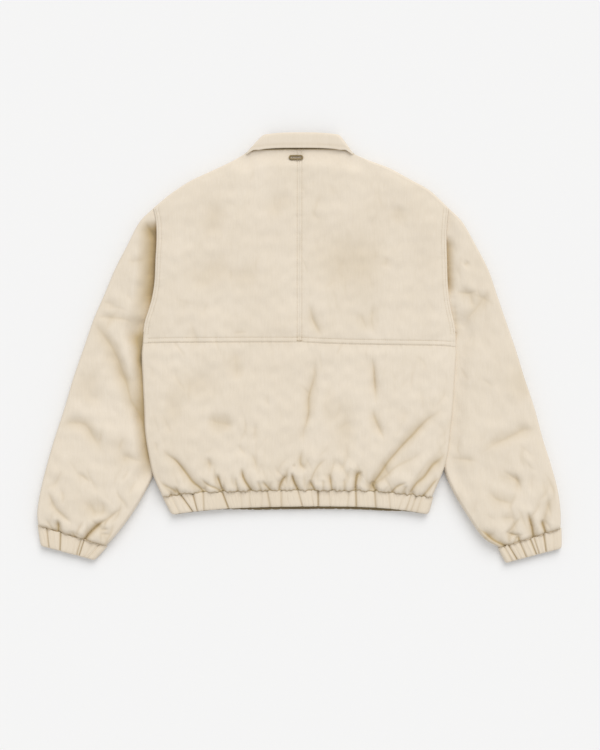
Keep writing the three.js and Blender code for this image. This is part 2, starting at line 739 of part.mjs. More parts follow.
function tube(us, stations, place, innerUs, innerStations, innerPlace) {
  const surface = new Surface();
  const ringOf = (list, make, u) => {
    const ring = list.map((station) => surface.point(...make(u, station)));
    return [...ring, ring[0]];
  };
  const outside = us.map((u) => ringOf(stations, place, u));
  const inside = innerUs.map((u) => ringOf(innerStations, innerPlace, u));
  const turn = (list) => [
    ...list.map(({ share, upper }) => (upper ? share : 2 - share)),
    2,
  ];
  surface.skin(outside);
  surface.skin(inside, true);
  surface.join(outside[0], turn(stations), inside[0], turn(innerStations));
  const end = outside.length - 1;
  const innerEnd = inside.length - 1;
  const from = surface.faces.length;
  surface.join(outside[end], turn(stations), inside[innerEnd], turn(innerStations));
  const tail = surface.faces.splice(from).reverse();
  surface.faces.push(...tail);
  return surface.geometry();
}

function sleeve(side) {
  const form = sleeveForm(side);
  const shares = CUFF_GATHERS.map((gather) => gather.share);
  const crests = shares.slice(1).map((share, i) => (share + shares[i]) / 2);
  const upper = [0, 0.014, 0.045, ...shares, ...crests, 0.955, 0.986, 1].sort((a, b) => a - b);
  const lower = [0, 0.014, 0.045, ...sampled(10, (t) => mix(0.12, 0.9, t)), 0.955, 0.986, 1];
  const us = [0, 0.012, 0.03, 0.055, 0.085, ...sampled(19, (t) => mix(0.12, 0.965, t)), 0.985, 1];
  const outerPlace = (u, station) => {
    const [x, y] = form.plan(station.share, u);
    const isEdge = station.share === 0 || station.share === 1;
    const height = station.upper ? form.top(x, y) : form.bottom(x, y);
    return [x, y, isEdge ? form.edgeHeight(y, station.share === 1) : height];
  };
  const innerPlace = (u, station) => {
    const start = form.plan(0, u);
    const end = form.plan(1, u);
    const inset = HOLLOW_INSET / Math.hypot(end[0] - start[0], end[1] - start[1]);
    const [x, y] = form.plan(mix(inset, 1 - inset, station.share), u);
    const isEdge = station.share === 0 || station.share === 1;
    const half = isEdge ? 0 : SLOT / 2;
    return [x, y, form.middle(x, y) + (station.upper ? half : -half)];
  };
  const inner = ringStations([0, 0.04, 0.25, 0.5, 0.75, 0.96, 1], [0, 0.04, 0.35, 0.65, 0.96, 1]);
  const innerUs = [0, 0.02, 0.05, 0.1, ...sampled(10, (t) => mix(0.17, 1, t))];
  return tube(us, ringStations(upper, lower), outerPlace, innerUs, inner, innerPlace);
}

// Sweep of a flat section along a list of frames, with flat ends or closed into a ring
function sweep(section, frames, closed) {
  const surface = new Surface();
  const rings = frames.map((frame) => {
    const ring = section(frame).map((point) => surface.point(...point));
    return [...ring, ring[0]];
  });
  surface.skin(closed ? [...rings, rings[0]] : rings);
  if (!closed) {
    const flat = frames[0].outline.map(([h, n]) => new THREE.Vector2(h * 30, n));
    const turning = Math.sign(THREE.ShapeUtils.area(flat));
    for (const corners of THREE.ShapeUtils.triangulateShape(flat, [])) {
      const same = turning * THREE.ShapeUtils.area(corners.map((corner) => flat[corner])) > 0;
      const [a, b, c] = same ? corners : [...corners].reverse();
      const [start, end] = [rings[0], rings[rings.length - 1]];
      surface.faces.push(start[a], start[b], start[c], end[c], end[b], end[a]);
    }
  }
  return surface.geometry();
}

// Stations round a flattened band: the angle is the way its outer side faces, 90 degrees for up
function bandStations(gathers, turns, lowerShares) {
  const upper = [];
  gathers.forEach((gather, i) => {
    upper.push({ top: gather.top, bottom: gather.bottom, angle: 90, furrow: gather.depth });
    const next = gathers[i + 1];
    if (next) {
      [0.25, 0.5, 0.75].forEach((share) => upper.push({
        top: mix(gather.top, next.top, share), bottom: mix(gather.bottom, next.bottom, share),
        angle: 90, furrow: 0.12 * Math.abs(2 * share - 1) * 2,
      }));
    }
  });
  const turn = (share, from, to) => sampled(turns, (t) => ({
    top: share, bottom: share, angle: mix(from, to, t), furrow: 0,
  }));
  const lower = lowerShares.map((share) => ({ top: share, bottom: share, angle: 270, furrow: 0 }));
  return { upper, leftTurn: turn(0, 270, 90), rightTurn: turn(1, 90, -90), lower };
}

const BAND_OUTLINE = [
  [0, 0.34], [0.1, 0.5], [0.88, 0.5], [1, 0.2], [1, -0.3], [0.88, -0.5], [0.1, -0.5],
];

// Points of the band's section at one station, across the ring's line and its height
function bandSection(form) {
  const radius = (form.layers.back - form.layers.front) / 2;
  const centreZ = (form.layers.back + form.layers.front) / 2;
  const width = Math.hypot(
    form.topAt(1)[0] - form.topAt(0)[0],
    form.topAt(1)[1] - form.topAt(0)[1],
  );
  const across = [
    (form.topAt(1)[0] - form.topAt(0)[0]) / width,
    (form.topAt(1)[1] - form.topAt(0)[1]) / width,
  ];
  return (station) => {
    const angle = THREE.MathUtils.degToRad(station.angle);
    const inset = radius / width;
    const top = form.topAt(mix(inset, 1 - inset, station.top));
    const bottom = form.bottomAt(mix(inset, 1 - inset, station.bottom), station.angle);
    return BAND_OUTLINE.map(([height, offset]) => {
      const [x, y] = between(top, bottom, height);
      const furrow = offset > 0 ? station.furrow * form.layers.gather : 0;
      const reach = radius + offset * form.layers.thick - furrow;
      const side = Math.cos(angle) * reach;
      return [x + across[0] * side, y + across[1] * side, centreZ + Math.sin(angle) * reach];
    });
  };
}

function hemBand() {
  const inset = (HEM_LAYERS.back - HEM_LAYERS.front) / 2 / (HEM_ENDS.topRight - HEM_ENDS.topLeft);
  const shareFrom = (left, right) => (x) => ((x - left) / (right - left) - inset) / (1 - 2 * inset);
  const shareOf = shareFrom(HEM_ENDS.topLeft, HEM_ENDS.topRight);
  const bottomShareOf = shareFrom(HEM_ENDS.bottomLeft, HEM_ENDS.bottomRight);
  const gathers = HEM_GATHERS.map((gather) => ({
    top: shareOf(gather.top), bottom: bottomShareOf(gather.bottom), depth: gather.depth,
  }));
  const topAt = (share) => {
    const x = mix(HEM_ENDS.topLeft, HEM_ENDS.topRight, share);
    return [x, bandTop(x) - SEAM_GAP];
  };
  const bottomAt = (share, angle) => {
    const x = mix(HEM_ENDS.bottomLeft, HEM_ENDS.bottomRight, share);
    const under = smooth((Math.abs(angle - 90) - 90) / 90);
    return [x, bandBottom(x) - FRONT_HEM_DROP * under];
  };
  const closure = PLACKET_WIDTH / 2 + SEAM_GAP;
  const front = [0.94, 0.8, 0.6, 0.4, 0.2, 0.06];
  const layer = (side, angle) => front.map((share) => ({
    top: mix(shareOf(side * closure), side < 0 ? 0 : 1, share),
    bottom: mix(bottomShareOf(side * closure), side < 0 ? 0 : 1, share),
    angle, furrow: 0,
  }));
  const end = (side, angle) => ({
    top: shareOf(side * closure), bottom: bottomShareOf(side * closure), angle, furrow: 0,
  });
  const { upper, leftTurn, rightTurn } = bandStations(gathers, 6, []);
  const frames = [
    end(-1, 270), ...layer(-1, 270).reverse(), ...leftTurn, ...upper, ...rightTurn,
    ...layer(1, -90), end(1, -90),
  ];
  frames[0].outline = BAND_OUTLINE;
  return sweep(bandSection({ topAt, bottomAt, layers: HEM_LAYERS }), frames, false);
}

function cuff(side) {
  const rows = SLEEVE_SECTIONS[side];
  const seam = rows[rows.length - 1];
  const opening = CUFFS[side];
  const gathers = CUFF_GATHERS.map((gather, i) => ({
    top: gather.share, bottom: gather.share + 0.012 * ((i % 3) - 1), depth: gather.depth,
  }));
  const outer = [seam.outerX, seam.outerY];
  const inner = [seam.innerX, seam.innerY];
  const down = [opening.outer[0] - outer[0], opening.outer[1] - outer[1]];
  const away = 2 * SEAM_GAP / Math.hypot(...down);
  const topAt = (share) => {
    const [x, y] = between(outer, inner, share);
    return [x + down[0] * away, y + down[1] * away];
  };
  const bottomAt = (share) => between(opening.outer, opening.inner, share);
  const { upper, leftTurn, rightTurn, lower } = bandStations(
    gathers, 5, [0.85, 0.7, 0.5, 0.3, 0.15],
  );
  const frames = [...leftTurn, ...upper, ...rightTurn.slice(0, -1), ...lower.map(
    (station) => ({ ...station, angle: -90 }),
  )];
  frames.splice(frames.length - lower.length, 0, rightTurn[rightTurn.length - 1]);
  frames.shift();
  frames.push({ top: 0, bottom: 0, angle: -90, furrow: 0 });
  return sweep(bandSection({ topAt, bottomAt, layers: CUFF_LAYERS }), frames, true);
}

// Folded collar: the stand rises from the neck seam to the fold and the fall hangs outside it.
// Heights are shares from the seam to the fold, offsets are millimetres outwards.
function collarOutline(fallEnd) {
  return [
    [0, -4], [0.8, -4], [0.95, -3], [1, -0.5], [0.97, 2.6], [0.8, 4.4], [0.4, 4.9],
    [fallEnd, 4.8], [fallEnd - 0.02, 3], [fallEnd + 0.04, 1.5], [0.4, 0.9], [0.72, 0.6],
    [0.4, 0.4], [0, 0.2],
  ];
}

function collar() {
  const radius = (COLLAR.back - COLLAR.front) / 2;
  const centreZ = (COLLAR.back + COLLAR.front) / 2;
  const fallBack = -COLLAR.fallDrop / (COLLAR.fold - COLLAR.neck);
  const heights = (share, angle, seamX) => {
    const out = Math.abs(share);
    const back = {
      neck: shoulderLine(seamX) + SEAM_GAP * (2.4 + 10 * smooth((Math.abs(seamX) - 68) / 14)),
      fold: COLLAR.fold - COLLAR.foldDip * out ** 6,
    };
    const front = {
      neck: mix(COLLAR.frontNeck, COLLAR.sideNeck, out ** 1.7),
      fold: mix(COLLAR.frontFold, COLLAR.sideFold, out ** 1.7),
    };
    const up = (1 + Math.sin(THREE.MathUtils.degToRad(angle))) / 2;
    return [mix(front.neck, back.neck, up), mix(front.fold, back.fold, up)];
  };
  const section = ({ share, angle }) => {
    const turn = THREE.MathUtils.degToRad(angle);
    const fallEnd = mix(0.06, fallBack, smooth(Math.sin(turn)));
    return collarOutline(fallEnd).map(([height, offset]) => {
      const reach = radius + offset;
      const halfAt = (place) => mix(COLLAR.neckHalf, COLLAR.foldHalf, clamp(place)) - radius - 4.8;
      const xAt = (place) => share * halfAt(place) + Math.cos(turn) * reach;
      const [neck, fold] = heights(share, angle, xAt(0));
      return [xAt(height), mix(neck, fold, height), centreZ + Math.sin(turn) * reach];
    });
  };
  const line = (from, to, angle, count) => sampled(count, (t) => ({ share: mix(from, to, t), angle }));
  const turnAt = (share, from, to) => sampled(8, (t) => ({ share, angle: mix(from, to, t) }));
  const frames = [
    ...line(-0.008, -1, 270, 8).slice(0, -1), ...turnAt(-1, 270, 90),
    ...line(-1, 1, 90, 18).slice(1, -1), ...turnAt(1, 90, -90), ...line(1, 0.008, -90, 8).slice(1),
  ];
  frames[0].outline = collarOutline(0.06);
  return sweep(section, frames, false);
}

// Hanger loop: a flattened ring of cord that lies on the yoke just under the collar
function hangerLoop() {
  const half = LOOP.cord / 2;
  const bendRadius = LOOP.width / 2 - half;
  const straight = LOOP.length / 2 - half - bendRadius;
  const frames = [];
  const corners = [[1, -90, 90], [-1, 90, 270]];
  for (const [side, from, to] of corners) {
    for (const t of evenly(6)) {
      const angle = THREE.MathUtils.degToRad(mix(from, to, t));
      frames.push({ x: side * straight, angle });
    }
  }
  const section = ({ x, angle }) => evenly(7).map((t) => {
    const round = t * Math.PI * 2 * 7 / 8;
    const reach = bendRadius + Math.cos(round) * half;
    const px = LOOP.x + x + Math.cos(angle) * reach;
    const py = LOOP.y + Math.sin(angle) * reach;
    const ground = backTop(LOOP.x, LOOP.y + Math.sin(angle) * bendRadius);
    return [px, py, ground + SEAM_GAP + LOOP.step + half + Math.sin(round) * half];
  });
  return sweep(section, frames, true);
}

const MATERIALS = {
  cloth: new THREE.MeshStandardMaterial({ color: 0xe6dac2, roughness: 0.92, metalness: 0 }),
  band: new THREE.MeshStandardMaterial({ color: 0xe0d2b9, roughness: 0.92, metalness: 0 }),
  tape: new THREE.MeshStandardMaterial({ color: 0xa89468, roughness: 0.85, metalness: 0 }),
};

const jacket = new THREE.Group();

function addPiece(name, geometry, material) {
  const mesh = new THREE.Mesh(geometry, material);
  mesh.name = name;
  jacket.add(mesh);
}

for (const side of ['left', 'right']) {
  addPiece(`back_yoke_${side}`, yokePanel(side), MATERIALS.cloth);
  addPiece(`front_${side}`, frontPanel(side), MATERIALS.cloth);
  addPiece(`sleeve_${side}`, sleeve(side), MATERIALS.cloth);
  addPiece(`cuff_${side}`, cuff(side), MATERIALS.band);
}
addPiece('back_lower', lowerBackPanel(), MATERIALS.cloth);
addPiece('front_placket', placketPanel(), MATERIALS.cloth);
addPiece('hem_band', hemBand(), MATERIALS.band);
addPiece('collar', collar(), MATERIALS.cloth);
addPiece('hanger_loop', hangerLoop(), MATERIALS.tape);

export default jacket;
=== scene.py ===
import enum
import logging
import math
from dataclasses import dataclass, field
from typing import Callable, Dict, List, Optional, Sequence, Tuple

import bpy
import numpy as np
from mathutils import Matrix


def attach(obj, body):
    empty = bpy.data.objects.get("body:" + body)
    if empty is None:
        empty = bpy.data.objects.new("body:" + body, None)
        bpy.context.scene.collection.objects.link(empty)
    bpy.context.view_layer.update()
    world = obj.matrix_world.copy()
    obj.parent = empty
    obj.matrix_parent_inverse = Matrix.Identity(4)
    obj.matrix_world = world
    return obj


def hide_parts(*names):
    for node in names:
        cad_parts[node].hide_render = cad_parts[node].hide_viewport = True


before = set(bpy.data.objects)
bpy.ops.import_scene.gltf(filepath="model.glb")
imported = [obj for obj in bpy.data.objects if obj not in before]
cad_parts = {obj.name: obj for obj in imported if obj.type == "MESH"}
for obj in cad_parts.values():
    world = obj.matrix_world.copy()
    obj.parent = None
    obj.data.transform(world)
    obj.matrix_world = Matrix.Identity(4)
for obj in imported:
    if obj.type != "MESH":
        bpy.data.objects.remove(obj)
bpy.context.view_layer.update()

# A cropped, padded chore jacket in beige cotton, laid on its front with its back up.
# Tables and sizes are in millimetres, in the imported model's frame: X runs to the wearer's
# right, Y towards the collar and Z up from the surface below. Meshes are written in metres.

MM = 0.001
SEED = 731
LOG = logging.getLogger("jacket")

Field = np.ndarray
Spot = Tuple[float, float]
Edge = Callable[[Field], Tuple[Field, Field]]

SEAM_GAP = 0.08
ARMHOLE_GAP = 0.2
LIT_SIDE = (0.6, 0.8)
SEAM_PLANE = 12.0
SLOT = 2.2
SEAM_STRIP = 5.0
SHOULDER_TIP = 241.0
UNDERARM = 27.0
NECK_HALF = 95.0
NECK_SHARE = 0.36
PLACKET_WIDTH = 36.0


def clamp(value: Field) -> Field:
    """Value held between 0 and 1."""
    return np.clip(value, 0.0, 1.0)


def mix(a: Field, b: Field, share: Field) -> Field:
    """Value between a and b at a share."""
    return a + (b - a) * share


def smooth(value: Field) -> Field:
    """Soft step from 0 at 0 to 1 at 1."""
    t = clamp(value)
    return t * t * (3 - 2 * t)


def quarter(value: Field) -> Field:
    """Quarter circle from 0 at the edge to 1 one radius in."""
    t = 1 - clamp(value)
    return np.sqrt(1 - t * t)


def bell(distance: Field, width: float) -> Field:
    """Bell of height 1 and of the given half width."""
    return np.exp(-((distance / width) ** 2))


def rolled(gap: Field, edge: Field, full: float, small: float, wide: float,
           share: float) -> Field:
    """Height that rolls up from an edge: a small round, and then a long gentle slope.

    Args:
        gap: distance from the edge.
        edge: height of the edge.
        full: height far from it.
        small: radius of the round.
        wide: length of the slope.
        share: share of the height that the round takes.

    Returns:
        The heights.
    """
    slope = np.sin(0.5 * math.pi * clamp(gap / wide))
    return edge + (full - edge) * (share * quarter(gap / small) + (1 - share) * slope)


def soft_min(*values: Field) -> Field:
    """Least of several heights, with the meeting lines rounded off.

    Args:
        values: heights of the same shape.

    Returns:
        The rounded least of them.
    """
    softness = 1.2
    stack = np.stack(np.broadcast_arrays(*values))
    least = stack.min(axis=0)
    return least - softness * np.log(np.exp((least - stack) / softness).sum(axis=0))


class Curve:
    """Smooth curve through a short table of keys and values."""

    def __init__(self, keys: Sequence[float], values: Sequence[float]) -> None:
        """Sorts the table and works out a slope for each row.

        Args:
            keys: places along the curve, in any order.
            values: the value at each place.
        """
        order = np.argsort(keys)
        self.keys = np.asarray(keys, float)[order]
        self.values = np.asarray(values, float)[order]
        count = len(self.keys)
        before = np.maximum(np.arange(count) - 1, 0)
        after = np.minimum(np.arange(count) + 1, count - 1)
        rise = self.values[after] - self.values[before]
        self.slopes = rise / (self.keys[after] - self.keys[before])

    def __call__(self, place: Field) -> Field:
        """Reads the curve.

        Args:
            place: one key or many.

        Returns:
            The value at each place.
        """
        place = np.asarray(place, float)
        i = np.clip(np.searchsorted(self.keys, place) - 1, 0, len(self.keys) - 2)
        span = self.keys[i + 1] - self.keys[i]
        t = clamp((place - self.keys[i]) / span)
        rise = self.values[i + 1] - self.values[i]
        start = self.slopes[i] * span - rise
        end = rise - self.slopes[i + 1] * span
        return self.values[i] + t * rise + t * (1 - t) * (start * (1 - t) + end * t)


class Table:
    """Short table with named columns."""

    def __init__(self, columns: str, rows: Sequence[Sequence[float]]) -> None:
        """Keeps the rows under their column names.

        Args:
            columns: the names, with spaces between them.
            rows: one row for each section or point.
        """
        self.columns = columns.split()
        self.rows = np.asarray(rows, float)

    def column(self, name: str) -> Field:
        """One column by name."""
        return self.rows[:, self.columns.index(name)]

    def curve(self, key: str, value: str) -> Curve:
        """Smooth curve through one column, read by another."""
        return Curve(self.column(key), self.column(value))


BODY_SIDES = Table("y left right front_left front_right", [
    (241, -252, 257, -252, 257), (217, -247, 254.5, -247, 254.5), (190, -246, 253, -246, 253),
    (150, -248, 254, -248, 254), (115, -249.5, 255, -249.5, 255), (86, -254, 257.5, -254, 257.5),
    (65, -260, 261, -260, 261), (46, -266, 265.5, -266, 265.5), (27, -269, 269, -269, 269),
    (10, -270, 270, -263, 263), (-12, -272, 270.5, -259, 258), (-57, -270, 267.5, -257, 256),
    (-110, -267.5, 264, -254, 252), (-145, -266, 260, -251, 249), (-189, -259, 254.5, -247, 244),
    (-222, -251, 243.5, -243, 236), (-256, -236, 228.5, -233, 226), (-262, -233, 226, -230, 223),
])
SHOULDERS = Table("x y", [
    (-252, 241), (-223, 265), (-188, 288), (-154, 304), (-118, 321), (-95, 334), (-82, 341.5),
    (-50, 346), (0, 347), (50, 346), (82, 341.5), (97, 333), (121, 323), (156, 309.5),
    (190, 291), (225, 271), (257, 241),
])
FRONT_NECK = Table("x y", [
    (-95, 334), (-84, 318), (-66, 296), (-42, 278), (-18, 269.5), (0, 268), (18, 269.5),
    (42, 278), (66, 296), (84, 317.5), (97, 333),
])
YOKE_SEAM = Table("x y", [
    (-272, 8.5), (-214, 9.5), (0, 10.3), (52, 8), (138, 6), (242, 4.3), (272, 2),
])
HEM_LINE = Table("x top bottom", [
    (-240, -257, -291), (-190, -250, -283), (-125, -247, -277), (-50, -245, -274),
    (50, -245, -273), (120, -246, -274.5), (170, -250, -278.5), (235, -258, -289),
])
HEM_GATHERS = Table("top bottom depth", [
    (-222, -207, 0.4), (-205.5, -183, 1), (-184, -176, 1), (-166, -165, 0.7), (-133.5, -122, 1),
    (-101, -100, 0.4), (-87, -85, 0.5), (-66, -66, 0.35), (-56, -50, 0.8), (-32, -31.5, 0.7),
    (-3, 5, 0.75), (20.5, 24, 0.4), (32, 32, 1), (50, 53, 0.45), (85, 82.5, 0.5),
    (97, 98, 1), (129.5, 131.5, 0.85), (153, 157, 0.5), (181, 170, 0.4), (193, 183, 0.65),
    (201, 192, 0.6), (211, 202, 0.5),
])
HEM_PUFFS = Table("x depth", [
    (-221, 0.6), (-201, 0.8), (-165, 1), (-131, 1), (-107, 0.35), (-83, 0.9), (-66, 0.3),
    (-51, 0.7), (-35, 0.7), (-4, 1), (24, 0.8), (40, 0.3), (57, 0.8), (76, 0.35), (98, 1),
    (131, 0.9), (159, 0.7), (178, 0.3), (194, 1), (214, 0.7),
])
SLEEVE_COLUMNS = "outer_x outer_y inner_x inner_y"
NONE = float("nan")
SLEEVE_SECTIONS = {
    "left": Table(SLEEVE_COLUMNS, [
        (-252, 241, NONE, 27), (-276, 217, NONE, 23), (-298, 175, NONE, 14),
        (-319, 134, NONE, 0), (-336, 93, NONE, -20), (-354, 52, NONE, -46),
        (-372, 0, NONE, -80), (-390, -52, NONE, -122), (-405, -103, NONE, -166),
        (-422, -155, -249, -207), (-434, -196, -266, -248), (-446, -244, -291, -289),
        (-452, -282, -317, -323), (-450, -306, -334, -341),
    ]),
    "right": Table(SLEEVE_COLUMNS, [
        (257, 241, NONE, 27), (281, 217, NONE, 23), (305, 175, NONE, 14),
        (326, 134, NONE, 0), (340, 93, NONE, -20), (354, 52, NONE, -46),
        (372, 0, NONE, -80), (388, -52, NONE, -122), (405, -103, NONE, -166),
        (419, -155, 248, -205), (432, -196, 264, -246), (445, -244, 291, -291),
        (450, -282, 317, -327), (450, -311, 345, -344),
    ]),
}
CUFF_OPENINGS = {
    "left": ((-443.0, -342.0), (-357.0, -365.0)),
    "right": ((449.5, -346.0), (359.0, -370.0)),
}
CUFF_GATHERS = {
    "left": Table("share low depth", [
        (0.099, 0.107, 0.8), (0.2, 0.21, 0.25), (0.322, 0.34, 1), (0.46, 0.47, 0.25),
        (0.57, 0.6, 0.3), (0.645, 0.696, 0.8), (0.693, 0.745, 1), (0.84, 0.85, 0.3),
        (0.93, 0.93, 0.4),
    ]),
    "right": Table("share low depth", [
        (0.1, 0.09, 0.25), (0.262, 0.25, 1), (0.36, 0.33, 0.3), (0.436, 0.395, 0.8),
        (0.508, 0.441, 1), (0.6, 0.56, 0.3), (0.684, 0.65, 0.9), (0.79, 0.76, 0.3),
        (0.879, 0.832, 1), (0.955, 0.94, 0.6),
    ]),
}

CREASE_COLUMNS = "x0 y0 x1 y1 x2 y2 width depth"
LOWER_CREASES = Table(CREASE_COLUMNS, [
    (-163, -122, -137, -127, -107, -136, 12, 2.6), (30, 0, 18, -98, 3, -178, 8.5, 2.8),
    (2, -172, -1, -199, 14, -213, 7, 2.4), (80, -64, 81, -141, 75, -193, 14, 1.7),
    (121, -4, 132, -60, 131, -98, 8, 2.8), (129, -98, 122, -126, 152, -165, 8, 2.4),
    (-158, -184, -156, -197, -152, -209, 8, 1.4), (-13, -200, -8, -201, -3, -201, 5, 0.8),
    (-85, -175, -76, -196, -73, -216, 8, 1.4), (-77, -128, -78, -145, -76, -162, 9, 1),
    (-109, 3, -109, -30, -109, -60, 12, 1.4), (181, -100, 181, -120, 180, -138, 12, 0.8),
    (-225, -60, -212, -100, -214, -150, 15, 1.2), (40, -40, 52, -100, 44, -150, 15, 1),
])
HEM_FOLDS = Table(CREASE_COLUMNS, [
    (-236, -171, -200, -204, -165, -251, 7.5, 3.8), (-240, -226, -226, -240, -212, -249, 7, 2),
    (-216, -238, -208, -249, -200, -257, 6, 2.6), (-174, -220, -157, -238, -136, -247, 6.5, 2.4),
    (-144, -212, -140, -228, -130, -248, 6, 4), (-101, -204, -97, -224, -83, -243, 6, 3.6),
    (-62, -226, -57, -237, -50, -246, 6, 2.4), (-17, -220, -29, -225, -35, -243, 6, 2.4),
    (-12, -212, -11, -228, -3, -245, 5.5, 4.4), (16, -224, 19, -236, 25, -245, 6, 3),
    (49, -188, 29, -205, 18, -229, 8, 1.8), (50, -213, 50, -230, 57, -245, 6, 2.7),
    (66, -188, 57, -203, 51, -220, 9, 1.4), (110, -213, 94, -213, 98, -245, 6, 4.4),
    (126, -226, 126, -236, 131, -246, 6, 3.4), (256, -94, 178, -152, 126, -234, 9, 4),
    (221, -173, 168, -203, 128, -234, 10, 1.8), (260, -174, 222, -207, 193, -247, 8.5, 4.4),
    (183, -228, 171, -234, 159, -247, 6.5, 2.4), (242, -218, 229, -237, 214, -252, 7, 3),
    (-110, -222, -110, -232, -107, -244, 6, 1.4), (76, -222, 75, -232, 77, -244, 6, 1.4),
    (-70, -226, -68, -235, -66, -244, 5, 1.2), (41, -226, 39, -235, 40, -244, 5, 1.2),
    (183, -234, 180, -241, 178, -249, 5, 1.2),
])
YOKE_CREASES = Table(CREASE_COLUMNS, [
    (11, 77, 30, 39, 39, 20, 8.5, 2.2), (126, 83, 127, 50, 126, 20, 9, 1.4),
    (97, 65, 109, 45, 121, 25, 10, 1.3), (152, 160, 150, 148, 149, 134, 9, 0.9),
    (176, 246, 172, 230, 169, 205, 13, 1.2), (-133, 254, -151, 229, -154, 170, 15, 1.3),
    (-16, 272, -42, 246, -51, 216, 14, 1.1), (-111, 151, -150, 130, -197, 98, 18, 1.4),
    (-59, 134, -92, 124, -128, 106, 17, 1.1), (-118, 26, -102, 25, -87, 26, 9, 0.9),
])
SLEEVE_CREASES = {
    "left": Table(CREASE_COLUMNS, [
        (-366, 56, -314, 10, -288, -96, 11, 3), (-330, 2, -288, -80, -260, -156, 11, 3.2),
        (-356, 52, -318, 58, -276, 40, 9, 1.6), (-346, 82, -330, 80, -312, 70, 9, 1),
        (-420, -138, -362, -102, -332, -196, 11, 2.6),
        (-437, -245, -424, -262, -423, -282, 7, 1.4), (-430, -256, -414, -290, -386, -304, 7, 1.8),
        (-377, -255, -362, -284, -306, -290, 12, 1.7), (-266, 222, -254, 203, -251, 182, 9, 2),
        (-309, -184, -290, -187, -261, -196, 9, 1.2), (-300, 150, -284, 151, -262, 148, 10, 1.1),
        (-346, -312, -336, -312, -324, -316, 5, 1.2), (-348, -318, -334, -322, -320, -326, 5, 1),
        (-296, -140, -312, -180, -300, -220, 16, 1.3), (-380, -30, -352, -70, -360, -120, 17, 1.4),
    ]),
    "right": Table(CREASE_COLUMNS, [
        (268, 97, 286, 92, 308, 99, 9, 1.8), (331, 101, 309, 78, 276, 28, 11, 1.7),
        (281, 138, 287, 143, 294, 150, 8, 1.2), (415, -137, 372, -133, 300, -190, 10, 2.2),
        (254, -186, 283, -194, 310, -194, 10, 1.6), (322, -247, 348, -262, 376, -269, 10, 2),
        (340, -294, 358, -292, 380, -301, 10, 1.5), (436, -248, 425, -282, 421, -314, 9, 1.9),
        (350, -315, 366, -322, 388, -320, 6, 2.4), (330, -212, 362, -226, 398, -236, 12, 1.3),
        (398, -20, 368, -60, 380, -104, 17, 1.3),
    ]),
}
CUFF_FOLDS = {
    "left": Table(CREASE_COLUMNS, [
        (-417, -294, -416, -310, -414, -325, 6.5, 5), (-326, -296, -354, -304, -374, -333, 5.5, 5.4),
        (-436, -304, -437, -311, -440, -318, 5, 1.6), (-392, -313, -390, -320, -388, -330, 6, 1.4),
    ]),
    "right": Table(CREASE_COLUMNS, [
        (306, -310, 330, -327, 360, -343, 7, 5), (390, -278, 404, -305, 402, -330, 7, 5.4),
        (376, -320, 378, -328, 379, -337, 5.5, 3), (421, -294, 420, -306, 422, -319, 6, 4),
        (340, -330, 348, -334, 355, -341, 5, 1.2),
    ]),
}
FRONT_CREASES = Table(CREASE_COLUMNS, [
    (-224, -150, -190, -196, -150, -240, 10, 3), (-120, -60, -128, -130, -112, -180, 9, 2.4),
    (-206, 60, -160, 20, -110, 8, 11, 2.4), (-80, 210, -70, 150, -88, 96, 10, 2),
    (-60, -190, -52, -220, -50, -246, 7, 2.6), (-190, 200, -160, 190, -130, 166, 12, 2),
    (216, -120, 176, -180, 150, -236, 10, 3), (96, -20, 104, -80, 90, -150, 9, 2.4),
    (60, -176, 70, -210, 66, -246, 7, 2.6), (232, 76, 180, 60, 120, 22, 11, 2.4),
    (70, 230, 84, 170, 76, 110, 10, 2), (196, 186, 170, 160, 134, 150, 12, 2),
])
SWELL_COLUMNS = "x y reach_x reach_y height"
COLLAR_LINE = Table("x y", [
    (-95, 335), (-89, 338.4), (-75, 342.6), (-50, 343.6), (-4, 344.4), (35, 344.4), (61, 344),
    (78, 342.2), (88, 338.4), (94, 335),
])
BACK_SWELLS = Table(SWELL_COLUMNS, [
    (87, 147, 62, 48, -2.4), (-175, -65, 34, 24, -1.8), (-60, -120, 60, 60, 1.2),
    (60, -110, 30, 60, 1), (190, -60, 40, 60, 1.4), (-180, 170, 50, 60, 1.2),
    (190, 130, 40, 60, 1.2), (-70, 210, 50, 40, 1), (-205, -150, 40, 40, 1.2),
])


class Line:
    """Line of points in plan."""

    def __init__(self, points: Sequence[Spot]) -> None:
        """Keeps the points as an array of X and Y."""
        self.points = np.asarray(points, float)

    def nearest(self, x: Field, y: Field) -> Tuple[Field, Field]:
        """Distance from each place, and the share along the line of its nearest point."""
        return self.reach(x, y)[:2]

    def reach(self, x: Field, y: Field) -> Tuple[Field, Field, Field]:
        """Finds the nearest point of the line to each place.

        Args:
            x: X of the places.
            y: Y of the places.

        Returns:
            The distances, the shares along the line, and how far each place lies from the
            line towards the lit side, below 0 on the other side.
        """
        best = np.full(np.shape(x), np.inf)
        along = np.zeros(np.shape(x))
        lit = np.zeros(np.shape(x))
        count = len(self.points) - 1
        for i in range(count):
            (ax, ay), (bx, by) = self.points[i], self.points[i + 1]
            dx, dy = bx - ax, by - ay
            t = clamp(((x - ax) * dx + (y - ay) * dy) / (dx * dx + dy * dy))
            off_x, off_y = x - ax - t * dx, y - ay - t * dy
            gap = np.hypot(off_x, off_y)
            closer = gap < best
            best = np.where(closer, gap, best)
            along = np.where(closer, (i + t) / count, along)
            lit = np.where(closer, LIT_SIDE[0] * off_x + LIT_SIDE[1] * off_y, lit)
        return best, along, lit

    def gap(self, x: Field, y: Field) -> Field:
        """Distance alone."""
        return self.nearest(x, y)[0]


def gap_to(lines: Sequence[Line], x: Field, y: Field) -> Field:
    """Distance to the nearest of several lines."""
    return np.minimum.reduce([line.gap(x, y) for line in lines])


